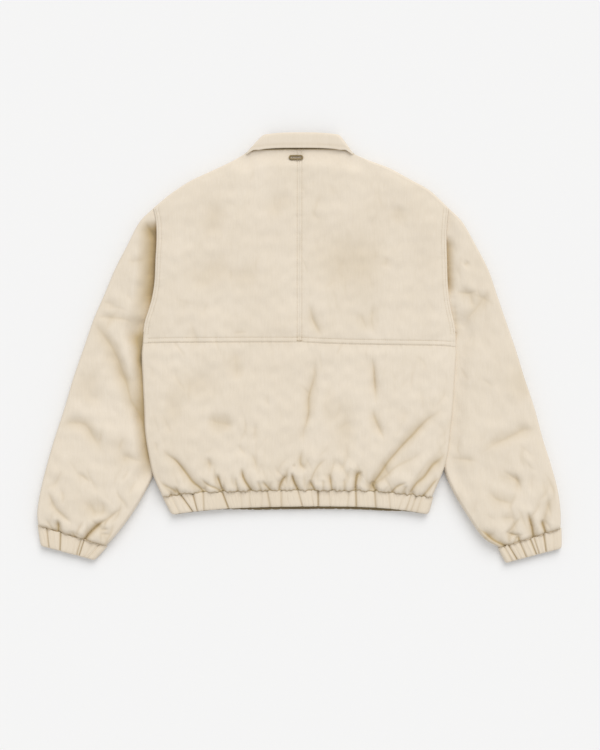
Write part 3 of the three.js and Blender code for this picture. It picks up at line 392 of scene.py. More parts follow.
class Ripple:
    """Uneven waves of unit size: a seeded sum of sine waves."""

    def __init__(self, seed: int, shortest: float, longest: float, count: int = 22,
                 turn: Tuple[float, float] = (0.0, math.pi)) -> None:
        """Draws the waves.

        Args:
            seed: number that fixes the draw.
            shortest: shortest wavelength.
            longest: longest wavelength.
            count: how many waves.
            turn: range of the directions that the waves run in, from X.
        """
        rng = np.random.default_rng(SEED + seed)
        length = shortest * (longest / shortest) ** rng.random(count)
        angle = rng.uniform(turn[0], turn[1], count)
        self.kx = 2 * math.pi / length * np.cos(angle)
        self.ky = 2 * math.pi / length * np.sin(angle)
        self.phase = rng.uniform(0, 2 * math.pi, count)
        weight = length / longest
        self.weight = weight / math.sqrt(float((weight**2).sum()) / 2)

    def __call__(self, x: Field, y: Field) -> Field:
        """Height of the waves at each place."""
        total = np.zeros(np.shape(x + y))
        for kx, ky, phase, weight in zip(self.kx, self.ky, self.phase, self.weight):
            total += weight * np.sin(kx * x + ky * y + phase)
        return total


def scattered(seed: int, count: int, low: Spot, high: Spot, depth: float) -> "Table":
    """Faint small creases, drawn at random between the listed ones.

    Args:
        seed: number that fixes the draw.
        count: how many.
        low: least X and Y.
        high: greatest X and Y.
        depth: greatest depth.

    Returns:
        A table of creases.
    """
    rng = np.random.default_rng(SEED + seed)
    rows = []
    for _ in range(count):
        x, y = rng.uniform(low[0], high[0]), rng.uniform(low[1], high[1])
        angle, reach = rng.normal(math.pi / 2, 0.5), rng.uniform(24, 66)
        dx, dy = reach * math.cos(angle), reach * math.sin(angle)
        bow = rng.uniform(-0.3, 0.3)
        rows.append((
            x, y, x + dx / 2 - bow * dy, y + dy / 2 + bow * dx, x + dx, y + dy,
            rng.uniform(4.5, 8), rng.uniform(0.3, 1) * depth,
        ))
    return Table(CREASE_COLUMNS, rows)


class Relief:
    """Listed creases, with the small unevenness of washed cloth over padding."""

    def __init__(self, creases: Sequence[Table], seed: int, swells: Optional[Table] = None,
                 held: Sequence[Table] = (), calm: float = 1.0) -> None:
        """Makes the lines of the creases.

        Args:
            creases: tables of creases that fade out at both ends.
            seed: number that fixes the uneven part.
            swells: table of broad swells and hollows.
            held: tables of creases that end in a seam at full depth.
            calm: size of the uneven part.
        """
        self.creases = [self.trough(row, False) for table in creases for row in table.rows]
        self.creases += [self.trough(row, True) for table in held for row in table.rows]
        self.swells = swells
        self.calm = calm
        self.warp = (Ripple(seed, 26, 70, 10), Ripple(seed + 1, 26, 70, 10))
        self.billow = Ripple(seed + 2, 55, 150)
        self.pillow = Ripple(seed + 3, 18, 44)
        self.grain = Ripple(seed + 6, 7, 15, 30, (-0.5, 0.5))

    @staticmethod
    def trough(row: Field, held: bool) -> Tuple[Line, float, float, bool]:
        """Bent line of a crease, with its half width, its depth and its end."""
        start, bend, end = row[0:2], row[2:4], row[4:6]
        shares = np.linspace(0, 1, 9)[:, None]
        line = mix(mix(start, bend, shares), mix(bend, end, shares), shares)
        return Line(line), float(row[6]), float(row[7]), held

    def creased(self, x: Field, y: Field) -> Tuple[Field, Field]:
        """Depth of the listed creases, and the dark lines at their bottoms.

        Args:
            x: X of the places.
            y: Y of the places.

        Returns:
            The depth, below 0 on the low ridges beside a crease, and the painted shade lines at the
            crease bottoms from 0 to 1.
        """
        shape = np.shape(x)
        px = (x + 1.3 * self.warp[0](x, y)).ravel()
        py = (y + 1.3 * self.warp[1](x, y)).ravel()
        depth, dark = np.zeros(px.shape), np.zeros(px.shape)
        for line, width, deep, held in self.creases:
            low = line.points.min(axis=0) - 4 * width
            high = line.points.max(axis=0) + 4 * width
            near = np.nonzero((px > low[0]) & (px < high[0]) & (py > low[1]) & (py < high[1]))[0]
            if not len(near):
                continue
            gap, along, lit = line.reach(px[near], py[near])
            fade = smooth(along / 0.4) * (1 if held else smooth((1 - along) / 0.4))
            sharp = 0.62 * min(1.0, max(0.0, (14 - width) / 8))
            side = np.tanh(lit / (0.5 * width))
            valley = np.exp((0.9 - np.sqrt(gap**2 + 0.81)) / (width * (0.42 - 0.12 * side)))
            ridge = 0.1 * (1 + side) * bell(gap - 1.9 * width, 1.5 * width)
            shaped = 0.85 * (1 - sharp) * bell(gap, 1.25 * width) + 1.15 * sharp * valley
            depth[near] += (1.45 if held else 1.8) * deep * fade * (shaped - ridge)
            # Painted shade: a dark line along the bottom of each sharp crease.
            core = sharp * min(1.0, deep / 3.5) * smooth(along / 0.5)
            core = core * (1 if held else 0.6 * smooth((1 - along) / 0.5))
            dark[near] = np.maximum(dark[near], core * bell(gap, 1.7))
        return depth.reshape(shape), dark.reshape(shape)

    def folds(self, x: Field, y: Field) -> Field:
        """Depth of the creases alone."""
        return self.creased(x, y)[0]

    def mark(self, x: Field, y: Field) -> Field:
        """Amount of painted shade at each place: from the creases' depth, their painted dark lines
        and the broad hollows.
        """
        depth, dark = self.creased(x, y)
        return np.maximum(depth, 0) / 13 + 1.15 * dark - 0.1 * np.minimum(self.swell(x, y), 0)

    def uneven(self, x: Field, y: Field) -> Field:
        """Small uneven height of the cloth over its padding.

        Args:
            x: X of the places.
            y: Y of the places.

        Returns:
            Heights of about half a millimetre either way.
        """
        waves = 0.7 * self.billow(x, y) + 0.3 * self.pillow(x, y) + 0.06 * self.grain(x, y)
        return self.calm * waves

    def swell(self, x: Field, y: Field) -> Field:
        """Broad swells of the padding."""
        total = np.zeros(np.shape(x))
        if self.swells is not None:
            for cx, cy, reach_x, reach_y, height in self.swells.rows:
                total += height * bell(np.hypot((x - cx) / reach_x, (y - cy) / reach_y), 1.0)
        return total


class Gathers:
    """Row of furrows across a gathered edge, with a puff between each two."""

    def __init__(self, places: Field, depths: Field, tail: float) -> None:
        """Adds a flat end beyond the first and last furrow.

        Args:
            places: where the furrows are.
            depths: how deep each one is, from 0 to 1.
            tail: length of the flat ends.
        """
        self.places = np.concatenate(([places[0] - tail], places, [places[-1] + tail]))
        self.depths = np.concatenate(([0.0], depths, [0.0]))

    def valley(self, place: Field, power: float = 0.7) -> Field:
        """Furrows as a share of full depth.

        Args:
            place: places along the edge.
            power: how square the puffs are.

        Returns:
            1 in a furrow of full depth and 0 on the crest of a puff.
        """
        i = np.clip(np.searchsorted(self.places, place) - 1, 0, len(self.places) - 2)
        t = clamp((place - self.places[i]) / (self.places[i + 1] - self.places[i]))
        depth = mix(self.depths[i], self.depths[i + 1], smooth(t))
        return depth * (1 - np.sin(math.pi * t) ** power)

    def furrow(self, place: Field, reach: float) -> Field:
        """Furrows of one narrow width, with a slight hollow between the puffs."""
        gap = np.abs(np.asarray(place)[:, None] - self.places[None, 1:-1]) / reach
        sharp = (self.depths[1:-1] * np.exp(-(gap**1.25))).max(axis=1)
        return np.maximum(sharp, 0.3 * self.valley(place, 1.0))


def coons(top: Edge, bottom: Edge, left: Edge, right: Edge,
          us: Field, vs: Field) -> Tuple[Field, Field]:
    """Grid spanned between four edges.

    Args:
        top: edge at v = 0, read by u.
        bottom: edge at v = 1, read by u.
        left: edge at u = 0, read by v.
        right: edge at u = 1, read by v.
        us: shares across.
        vs: shares down.

    Returns:
        X and Y of the grid, a row for each v.
    """
    ends = np.array([0.0, 1.0])
    grid = []
    for axis in (0, 1):
        across = mix(left(vs)[axis][:, None], right(vs)[axis][:, None], us[None, :])
        down = mix(top(us)[axis][None, :], bottom(us)[axis][None, :], vs[:, None])
        t, b = top(ends)[axis], bottom(ends)[axis]
        corners = mix(mix(t[0], t[1], us)[None, :], mix(b[0], b[1], us)[None, :], vs[:, None])
        grid.append(across + down - corners)
    return grid[0], grid[1]


def stations(span: float, step: float, close: Sequence[Tuple[float, float, float]] = ()) -> Field:
    """Shares of a span in steps that are finer near some places.

    Args:
        span: length of the span.
        step: usual step.
        close: places with finer steps, as place, half width and step.

    Returns:
        Shares from 0 to 1.
    """
    places = [0.0]
    while places[-1] < span:
        here = places[-1]
        size = step
        for place, reach, fine in close:
            size = min(size, mix(fine, step, float(smooth((abs(here - place) - reach) / reach))))
        places.append(here + size)
    result = np.array(places)
    return result / result[-1]


class Skin:
    """Collects the points and faces of one closed mesh."""

    def __init__(self) -> None:
        """Starts empty."""
        self.points: List[Field] = []
        self.painted_shade_marks: List[Field] = []
        self.faces: List[List[int]] = []
        self.count = 0

    def grid(self, x: Field, y: Field, z: Field, fold: Optional[Field] = None) -> Field:
        """Adds a grid of points.

        Args:
            x: X of the points, a row for each v.
            y: Y of the points.
            z: Z of the points.
            fold: amount of painted shade at each point: 1 for the painted shade colour, 2 for the
                painted deep shade colour.

        Returns:
            The numbers of the points, in the same rows.
        """
        x, y, z = np.broadcast_arrays(x, y, z)
        self.points.append(np.stack([x.ravel(), y.ravel(), z.ravel()], axis=1))
        self.painted_shade_marks.append(np.zeros(x.size) if fold is None else np.clip(fold, 0, 2).ravel())
        numbers = np.arange(self.count, self.count + x.size).reshape(x.shape)
        self.count += x.size
        return numbers

    def cover(self, grid: Field, flip: bool = False) -> None:
        """Covers a grid with faces.

        Args:
            grid: numbers of the points.
            flip: turns the faces over.
        """
        a, b = grid[:-1, :-1].ravel(), grid[1:, :-1].ravel()
        c, d = grid[1:, 1:].ravel(), grid[:-1, 1:].ravel()
        order = (a, d, c, b) if flip else (a, b, c, d)
        self.faces.extend(np.stack(order, axis=1).tolist())

    def join(self, first: Field, first_shares: Field, second: Field, second_shares: Field,
             flip: bool = False) -> None:
        """Joins two rings of points that run the same way.

        Args:
            first: numbers of the first ring.
            first_shares: share of the walk at each of them.
            second: numbers of the second ring.
            second_shares: share of the walk at each of them.
            flip: turns the faces over.
        """
        i = j = 0
        while i < len(first) - 1 or j < len(second) - 1:
            take = j == len(second) - 1 or (
                i < len(first) - 1 and first_shares[i + 1] <= second_shares[j + 1]
            )
            if take:
                face = [int(first[i]), int(first[i + 1]), int(second[j])]
                i += 1
            else:
                face = [int(first[i]), int(second[j + 1]), int(second[j])]
                j += 1
            self.faces.append(face[::-1] if flip else face)

    def volume(self, points: Field) -> float:
        """Signed volume inside the faces."""
        total = 0.0
        for size in (3, 4):
            faces = np.array([face for face in self.faces if len(face) == size], int)
            for k in range(1, size - 1):
                if len(faces):
                    a, b, c = (points[faces[:, n]] for n in (0, k, k + 1))
                    total += float(np.einsum("ij,ij->i", a, np.cross(b, c)).sum())
        return total / 6

    def piece(self, name: str, sharp: float = 50.0) -> bpy.types.Object:
        """Makes the object, faces out and shaded smooth.

        Args:
            name: the piece's name.
            sharp: angle in degrees above which an edge stays sharp.

        Returns:
            The new object, linked to the scene.
        """
        points = np.concatenate(self.points) * MM
        faces = self.faces
        if self.volume(points) < 0:
            faces = [face[::-1] for face in faces]
        mesh = bpy.data.meshes.new(name)
        mesh.from_pydata(points.tolist(), [], faces)
        # Painted shade amounts are stored on the mesh for the cloth's base colour.
        painted_shade_marks = mesh.attributes.new("cloth_painted_shade", "FLOAT_VECTOR", "POINT")
        values = np.zeros((len(points), 3), np.float32)
        values[:, 0] = np.concatenate(self.painted_shade_marks)
        painted_shade_marks.data.foreach_set("vector", values.ravel())
        mesh.polygons.foreach_set("use_smooth", [True] * len(mesh.polygons))
        mesh.set_sharp_from_angle(angle=math.radians(sharp))
        mesh.update()
        obj = bpy.data.objects.new(name, mesh)
        bpy.context.scene.collection.objects.link(obj)
        return obj


def border(grid: Field, us: Field, vs: Field) -> Tuple[Field, Field]:
    """Border of a grid, walked once round.

    Args:
        grid: numbers of the points.
        us: shares across.
        vs: shares down.

    Returns:
        The numbers along the border, and the share of the walk at each of them.
    """
    ring = np.concatenate([grid[0], grid[1:, -1], grid[-1, ::-1][1:], grid[::-1, 0][1:]])
    shares = np.concatenate([us, 1 + vs[1:], 3 - us[::-1][1:], 4 - vs[::-1][1:]])
    return ring, shares


@dataclass
class Face:
    """One face of a wall: its shares, its plan and its height."""

    us: Field
    vs: Field
    edges: Tuple[Edge, Edge, Edge, Edge]
    height: Callable[[Field, Field], Field]
    # Painted shade amount over the face, or none.
    fold: Optional[Callable[[Field, Field], Field]] = None

    def add(self, skin: Skin) -> Field:
        """Adds the face's points to a skin and returns their numbers."""
        x, y = coons(*self.edges, self.us, self.vs)
        fold = None if self.fold is None else self.fold(x, y)
        return skin.grid(x, y, self.height(x, y), fold)


def padded_wall(name: str, outer: Face, inner: Face) -> bpy.types.Object:
    """Padded wall between an outer and an inner face, closed all round.

    Args:
        name: the piece's name.
        outer: the face that shows.
        inner: the face inside the jacket.

    Returns:
        The new object.
    """
    skin = Skin()
    outside, inside = outer.add(skin), inner.add(skin)
    skin.cover(outside)
    skin.cover(inside, True)
    skin.join(*border(outside, outer.us, outer.vs), *border(inside, inner.us, inner.vs))
    return skin.piece(name)


class Side(enum.Enum):
    """Side of the jacket as it lies in the photograph."""

    LEFT = "left"
    RIGHT = "right"

    @property
    def sign(self) -> int:
        """Direction of X on this side."""
        return -1 if self is Side.LEFT else 1

    @property
    def tip(self) -> float:
        """X of the shoulder's tip."""
        return -252.0 if self is Side.LEFT else 257.0


class Slot(enum.Enum):
    """Material slots of the record."""

    COTTON = "padded_cotton"
    BAND = "elastic_band"
    TAPE = "loop_tape"


@dataclass
class BodyShape:
    """Body of the jacket as heights over the plan."""

    back_loft: float = 13.0
    round_back: float = 19.0
    round_front: float = 10.0
    armhole_top: float = 18.5
    armhole_drop: float = 5.5
    neck_top: float = 15.6
    band_seam_top: float = 15.0
    placket_depth: float = 8.0
    front_hem_drop: float = 5.0
    yoke_row: float = 8.0
    centre_row: float = 4.0
    armhole_rows: Tuple[float, float] = (3.6, 8.6)

    def __post_init__(self) -> None:
        """Works out the curves, lines and creases from the tables."""
        self.back = {side: BODY_SIDES.curve("y", side.value) for side in Side}
        self.front = {side: BODY_SIDES.curve("y", f"front_{side.value}") for side in Side}
        self.shoulder = SHOULDERS.curve("x", "y")
        self.front_neck = FRONT_NECK.curve("x", "y")
        self.yoke_seam = YOKE_SEAM.curve("x", "y")
        self.collar_line = COLLAR_LINE.curve("x", "y")
        self.band_top = HEM_LINE.curve("x", "top")
        self.band_bottom = HEM_LINE.curve("x", "bottom")
        self.hem_puffs = Gathers(HEM_PUFFS.column("x"), HEM_PUFFS.column("depth"), 13.0)
        shares = np.linspace(0, 1, 33)
        arm_y = mix(SHOULDER_TIP, UNDERARM, shares)
        side_y = mix(UNDERARM, -262.0, shares)
        hem_x = mix(-240.0, 235.0, shares)
        self.armholes = [self.line(self.back[side](arm_y), arm_y) for side in Side]
        self.side_seams = [self.line(self.back[side](side_y), side_y) for side in Side]
        self.front_sides = [self.line(self.front[side](side_y), side_y) for side in Side]
        self.shoulders = [
            self.line(xs, self.shoulder(xs))
            for xs in (mix(-252.0, -NECK_HALF, shares), mix(257.0, NECK_HALF, shares))
        ]
        neck_x = mix(-NECK_HALF, NECK_HALF, shares)
        self.neck = self.line(neck_x, self.shoulder(neck_x))
        self.hem = self.line(hem_x, self.band_top(hem_x))
        small = [
            scattered(11, 46, (-255, -215), (255, 0), 0.65),
            scattered(12, 26, (-240, 20), (240, 300), 0.45),
            scattered(13, 24, (-235, -262), (225, -215), 1.0),
            scattered(14, 40, (-235, -272), (225, -246), 1.2),
        ]
        self.relief = Relief([LOWER_CREASES, YOKE_CREASES, *small], 10, BACK_SWELLS, [HEM_FOLDS])
        self.front_relief = Relief([FRONT_CREASES], 30, calm=0.5)
        self.hem_waver = Ripple(53, 6, 15, 16, (-0.1, 0.1))
        self.yoke_pucker = Ripple(50, 6, 17, 14, (-0.3, 0.3))
        self.centre_pucker = Ripple(51, 6, 17, 14, (1.27, 1.87))
        self.arm_pucker = Ripple(52, 6, 15, 14, (1.27, 1.87))

    @staticmethod
    def line(xs: Field, ys: Field) -> Line:
        """Line through points given as X and Y."""
        return Line(np.stack([xs, ys], axis=1))

    def hem_seam(self, x: Field) -> Field:
        """Seam between the back and the hem band, scalloped by the gathers."""
        valley = self.hem_puffs.valley(x, 0.85)
        ends = smooth((np.minimum(x + 236, 231 - x)) / 14)
        return self.band_top(x) + ends * (2.8 * valley - 1.2 + 0.55 * self.hem_waver(x, 0 * x))

    def back_top(self, x: Field, y: Field) -> Field:
        """Outer face of the back.

        Args:
            x: X of the places.
            y: Y of the places.

        Returns:
            Heights above the surface below.
        """
        full = SEAM_PLANE + self.back_loft + 2
        rim = gap_to([*self.side_seams, *self.shoulders], x, y)
        arm_gap = gap_to(self.armholes, x, y)
        neck_gap = self.neck.gap(x, y)
        hem_gap = np.maximum(y - self.hem_seam(x), 0)
        plain = soft_min(
            rolled(rim, SEAM_PLANE + SEAM_GAP / 2, full - 2, 4.5, 34, 0.68),
            rolled(arm_gap, self.armhole_top, full, 4, 40, 0.3),
            mix(self.neck_top, full, smooth((neck_gap - 8) / 36)),
            rolled(hem_gap, self.band_seam_top, full, 11, 44, 0.66),
        )
        calm = smooth(np.minimum(rim, neck_gap) / 16)
        uneven = self.relief.uneven(x, y) + self.relief.swell(x, y) - self.relief.folds(x, y)
        sewn = self.sewing(x, y, arm_gap, hem_gap)
        least = np.minimum(plain, self.back_inside(x, y) + 1.0)
        top = plain + uneven * calm * smooth(arm_gap / 12 + 0.15) - sewn * smooth(rim / 7 + 0.25)
        return np.maximum(top, least)

    def sewing(self, x: Field, y: Field, arm_gap: Field, hem_gap: Field) -> Field:
        """Depth to which the seams and their stitch rows pull the cloth in.

        Args:
            x: X of the places.
            y: Y of the places.
            arm_gap: distance from the armhole.
            hem_gap: distance from the hem band.

        Returns:
            The depth below the plain padding.
        """
        rise = y - self.yoke_seam(x)
        above = rise > 0
        tug = self.yoke_pucker(x, 0 * y)
        yoke_side = (
            1.3 * bell(rise, 16) + 0.4 * bell(rise - self.yoke_row, 1.5)
            + 0.25 * bell(rise, 1.0) + 0.08 * tug * bell(rise - self.yoke_row, 8)
        )
        lower_side = 1.5 * bell(rise, 12) + 0.55 * bell(rise, 1.8) + 0.1 * tug * bell(rise + 5, 9)
        depth = np.where(above, yoke_side, lower_side)
        across = np.abs(x)
        tug = self.centre_pucker(0 * x, y)
        centre = (
            0.9 * bell(x, 14) + 0.42 * bell(across - self.centre_row, 1.5)
            + 0.4 * bell(x, 1.1) + 0.08 * tug * bell(across - self.centre_row, 7)
        )
        depth = depth + np.where(above, centre, 0) * smooth(rise / 6 + 0.4)
        tug = self.arm_pucker(0 * x, y)
        for row in self.armhole_rows:
            depth = depth + 0.36 * bell(arm_gap - row, 1.4)
        depth = depth + 0.35 * bell(arm_gap, 1.2) + 0.06 * tug * bell(arm_gap - 6, 8)
        valley = self.hem_puffs.valley(x, 0.85)
        return depth + 2.2 * valley * bell(hem_gap, 7)

    def painted_fold_shade(self, x: Field, y: Field) -> Field:
        """Amount of painted shade on the back: 1 in a fold, 2 in deep shade, with painted shade in
        the seam grooves, along the hem seam and under the collar's free edge.
        """
        hem_gap = np.maximum(y - self.hem_seam(x), 0)
        sewn = self.sewing(x, y, gap_to(self.armholes, x, y), hem_gap)
        # Painted shadow line on the yoke under the collar's free edge.
        collar = 2.2 * bell(y - self.collar_line(x) + 0.7, 1.8) * smooth((94 - np.abs(x)) / 4)
        # Painted shade in the seam grooves and along the hem seam.
        seams = np.maximum(sewn - 1.2, 0) / 7 + 0.8 * bell(hem_gap, 1.6)
        return self.relief.mark(x, y) + seams + collar

    def opened(self, x: Field, y: Field) -> Field:
        """How far the layers have parted, from 0 at the seams to 1."""
        return smooth(gap_to([*self.front_sides, *self.shoulders], x, y) / 18 - 0.3)

    def middle(self, x: Field, y: Field) -> Field:
        """Height between the layers of the body."""
        along = smooth((y - 30) / 35) * smooth((228 - y) / 25)
        return SEAM_PLANE - self.armhole_drop * along * bell(gap_to(self.armholes, x, y), 22)

    def back_inside(self, x: Field, y: Field) -> Field:
        """Inner face of the back."""
        return self.middle(x, y) + mix(SEAM_GAP / 2, SLOT / 2, self.opened(x, y))

    def front_inside(self, x: Field, y: Field) -> Field:
        """Inner face of the fronts."""
        return self.middle(x, y) - mix(SEAM_GAP / 2, SLOT / 2, self.opened(x, y))

    def front_bottom(self, x: Field, y: Field) -> Field:
        """Outer face of the fronts, flat on the surface below with its creases pressed in."""
        gap = gap_to([*self.front_sides, *self.shoulders], x, y)
        plain = (SEAM_PLANE - SEAM_GAP / 2) * (1 - quarter(gap / self.round_front))
        inner = smooth(gap / 26)
        raised = np.maximum(self.front_relief.folds(x, y), 0)
        raised += np.maximum(-self.front_relief.uneven(x, y) - 0.15, 0)
        edge = np.abs(x) - PLACKET_WIDTH / 2
        raised += 0.8 * bell(edge - 5, 2.4) + 1.2 * bell(edge, 1.8)
        return plain + raised * inner


class Wrap:
    """Socket of a shader, on which sums are written as Python expressions."""

    def __init__(self, kit: "Nodes", socket: bpy.types.NodeSocket) -> None:
        """Keeps the socket and the node tree that it belongs to."""
        self.kit = kit
        self.socket = socket

    def math(self, operation: str, first: object, second: object) -> "Wrap":
        """One sum on two values."""
        node = self.kit.node("ShaderNodeMath", {"operation": operation}, {0: first, 1: second})
        return Wrap(self.kit, node.outputs[0])

    def __add__(self, other: object) -> "Wrap":
        """Sum."""
        return self.math("ADD", self, other)

    def __radd__(self, other: object) -> "Wrap":
        """Sum, with the plain number first."""
        return self.math("ADD", other, self)

    def __sub__(self, other: object) -> "Wrap":
        """Difference."""
        return self.math("SUBTRACT", self, other)

    def __rsub__(self, other: object) -> "Wrap":
        """Difference, with the plain number first."""
        return self.math("SUBTRACT", other, self)

    def __mul__(self, other: object) -> "Wrap":
        """Product."""
        return self.math("MULTIPLY", self, other)

    def __rmul__(self, other: object) -> "Wrap":
        """Product, with the plain number first."""
        return self.math("MULTIPLY", other, self)

    def held(self) -> "Wrap":
        """Value held between 0 and 1."""
        return self.math("MAXIMUM", self.math("MINIMUM", self, 1.0), 0.0)


class Nodes:
    """Node tree of one material."""

    def __init__(self, name: str) -> None:
        """Makes the material with a bare shader and output."""
        self.material = bpy.data.materials.new(name)
        self.material.use_nodes = True
        self.tree = self.material.node_tree
        self.tree.nodes.clear()
        self.shader = self.tree.nodes.new("ShaderNodeBsdfPrincipled")
        output = self.tree.nodes.new("ShaderNodeOutputMaterial")
        self.tree.links.new(self.shader.outputs["BSDF"], output.inputs["Surface"])

    def node(self, kind: str, settings: Dict[str, object],
             inputs: Dict[object, object]) -> bpy.types.Node:
        """Makes one node, its settings first and then the values or links of its sockets.

        Args:
            kind: the node's type.
            settings: its settings by name.
            inputs: values or wrapped sockets by the input's name or number.

        Returns:
            The new node.
        """
        node = self.tree.nodes.new(kind)
        for key, value in settings.items():
            setattr(node, key, value)
        for key, value in inputs.items():
            self.put(node.inputs[key], value)
        return node

    def put(self, socket: bpy.types.NodeSocket, value: object) -> None:
        """Links a wrapped socket to an input, or sets a plain value on it."""
        if isinstance(value, Wrap):
            self.tree.links.new(value.socket, socket)
        else:
            socket.default_value = value

    def place(self) -> Wrap:
        """Place on the object, in metres."""
        node = self.node("ShaderNodeTexCoord", {}, {})
        return Wrap(self, node.outputs["Object"])

    def scaled(self, vector: Wrap, scale: Tuple[float, float, float]) -> Wrap:
        """Vector multiplied axis by axis."""
        node = self.node("ShaderNodeVectorMath", {"operation": "MULTIPLY"}, {0: vector, 1: scale})
        return Wrap(self, node.outputs[0])

    def noise(self, vector: Wrap, scale: Tuple[float, float, float],
              detail: float = 2.0, rough: float = 0.5) -> Wrap:
        """Noise over the object.

        Args:
            vector: place on the object.
            scale: cells to a metre on each axis.
            detail: finer layers.
            rough: weight of the finer layers.

        Returns:
            A value from 0 to 1, about 0.5 on average.
        """
        inputs = {"Vector": self.scaled(vector, scale), "Scale": 1.0, "Detail": detail,
                  "Roughness": rough}
        node = self.node("ShaderNodeTexNoise", {"noise_dimensions": "3D"}, inputs)
        return Wrap(self, node.outputs[0])

    def bands(self, vector: Wrap, scale: Tuple[float, float, float], waver: float) -> Wrap:
        """Soft parallel bands, such as twill lines or ribs.

        Args:
            vector: place on the object.
            scale: bands to a metre on each axis.
            waver: how far they stray.

        Returns:
            A value from 0 to 1.
        """
        settings = {"wave_type": "BANDS", "bands_direction": "DIAGONAL"}
        inputs = {"Vector": self.scaled(vector, scale), "Scale": 1.0, "Distortion": waver,
                  "Detail": 1.0}
        node = self.node("ShaderNodeTexWave", settings, inputs)
        return Wrap(self, node.outputs["Fac"])

    def mark(self) -> Wrap:
        """Amount of painted shade stored on the mesh."""
        node = self.node("ShaderNodeAttribute", {"attribute_name": "cloth_painted_shade"}, {})
        split = self.node("ShaderNodeSeparateXYZ", {}, {0: Wrap(self, node.outputs["Vector"])})
        return Wrap(self, split.outputs[0])

    def blend(self, factor: object, first: object, second: object) -> Wrap:
        """Colour between two colours."""
        node = self.node("ShaderNodeMix", {"data_type": "RGBA"}, {0: factor, 6: first, 7: second})
        return Wrap(self, node.outputs[2])

    def bump(self, height: Wrap, distance: float, strength: float) -> None:
        """Feeds a height, in millimetres, to the shader's normal."""
        inputs = {"Height": height, "Distance": distance * MM, "Strength": strength}
        node = self.node("ShaderNodeBump", {}, inputs)
        self.put(self.shader.inputs["Normal"], Wrap(self, node.outputs["Normal"]))

    def fixed(self, values: Dict[str, object]) -> None:
        """Sets numbers that are the same all over on the shader's own sockets."""
        for key, value in values.items():
            self.shader.inputs[key].default_value = value


Colour = Tuple[float, float, float, float]


@dataclass(frozen=True)
class ClothFinish:
    """Washed cotton, matte, with faint upright slubs and fine crinkles, and painted shade in its
    folds.
    """

    name: str = "washed_cotton"
    light: Colour = (0.790, 0.705, 0.592, 1.0)
    dark: Colour = (0.705, 0.615, 0.490, 1.0)
    # Painted shade colours: shade for folds, grooves and pockets, deep for the darkest painted
    # shadow.
    shade: Colour = (0.500, 0.385, 0.220, 1.0)
    deep: Colour = (0.170, 0.125, 0.062, 1.0)
    crinkle: float = 0.5
    sheen: float = 0.1

    def material(self) -> bpy.types.Material:
        """Builds the material.

        Returns:
            The new material.
        """
        kit = Nodes(self.name)
        place = kit.place()
        slub = kit.noise(place, (760.0, 34.0, 500.0), 3.0, 0.55)
        thread = kit.noise(place, (2300.0, 210.0, 1500.0), 1.0)
        cloud = kit.noise(place, (13.0, 9.0, 20.0), 3.0, 0.6)
        crease = kit.noise(place, (240.0, 95.0, 260.0), 3.0, 0.6)
        twill = kit.bands(place, (420.0, 420.0, 420.0), 1.2)
        tone = 0.5 + 0.75 * (slub - 0.5) + 0.35 * (thread - 0.5) + 0.9 * (cloud - 0.5)
        tone = (tone + 0.35 * (crease - 0.5)).held()
        base = kit.blend(tone, self.dark, self.light)
        # Painted shade: the base colour moves towards shade and then towards deep as the painted
        # shade amount rises.
        mark = kit.mark()
        base = kit.blend(mark.held(), base, self.shade)
        kit.put(kit.shader.inputs["Base Color"], kit.blend((mark - 1.0).held(), base, self.deep))
        kit.put(kit.shader.inputs["Roughness"], 0.86 + 0.12 * slub)
        height = 0.5 * crease + 0.22 * slub + 0.1 * thread + 0.06 * twill
        kit.bump(height, self.crinkle, 0.9)
        kit.fixed({"Sheen Weight": self.sheen, "Sheen Roughness": 0.6, "Specular IOR Level": 0.2})
        return kit.material


@dataclass(frozen=True)
class ThreadFinish:
    """Sewing thread, twisted, a shade deeper than the cloth."""

    name: str = "sewing_thread"
    light: Colour = (0.70, 0.60, 0.46, 1.0)
    dark: Colour = (0.60, 0.50, 0.36, 1.0)

    def material(self) -> bpy.types.Material:
        """Builds the material."""
        kit = Nodes(self.name)
        place = kit.place()
        twist = kit.bands(place, (1500.0, 1500.0, 900.0), 0.6)
        cloud = kit.noise(place, (90.0, 90.0, 90.0))
        tone = (0.6 * twist + 0.4 * cloud).held()
        kit.put(kit.shader.inputs["Base Color"], kit.blend(tone, self.dark, self.light))
        kit.put(kit.shader.inputs["Roughness"], 0.6 + 0.2 * cloud)
        kit.bump(twist, 0.06, 0.8)
        kit.fixed({"Sheen Weight": 0.1, "Specular IOR Level": 0.35})
        return kit.material


@dataclass(frozen=True)
class TapeFinish:
    """Woven tape of the hanger loop, in a dull olive brown far darker than the cloth: painted shade
    for the shaded loop.
    """

    name: str = "loop_tape"
    light: Colour = (0.38, 0.285, 0.145, 1.0)
    dark: Colour = (0.18, 0.13, 0.055, 1.0)

    def material(self) -> bpy.types.Material:
        """Builds the material."""
        kit = Nodes(self.name)
        place = kit.place()
        rib = kit.bands(place, (260.0, 1100.0, 700.0), 0.8)
        cloud = kit.noise(place, (260.0, 420.0, 260.0), 2.0)
        tone = (0.45 * rib + 0.6 * cloud).held()
        kit.put(kit.shader.inputs["Base Color"], kit.blend(tone, self.dark, self.light))
        kit.put(kit.shader.inputs["Roughness"], 0.7 + 0.2 * cloud)
        kit.bump(rib, 0.22, 0.9)
        kit.fixed({"Sheen Weight": 0.1, "Specular IOR Level": 0.25})
        return kit.material


@dataclass(frozen=True)
class FloorFinish:
    """Plain pale studio floor."""

    name: str = "studio_floor"
    tone: Colour = (0.867, 0.867, 0.867, 1.0)

    def material(self) -> bpy.types.Material:
        """Builds the material."""
        kit = Nodes(self.name)
        cloud = kit.noise(kit.place(), (2.0, 2.0, 2.0))
        near = tuple(0.995 * value for value in self.tone[:3]) + (1.0,)
        kit.put(kit.shader.inputs["Base Color"], kit.blend(cloud, near, self.tone))
        kit.fixed({"Roughness": 0.95, "Specular IOR Level": 0.1})
        return kit.material


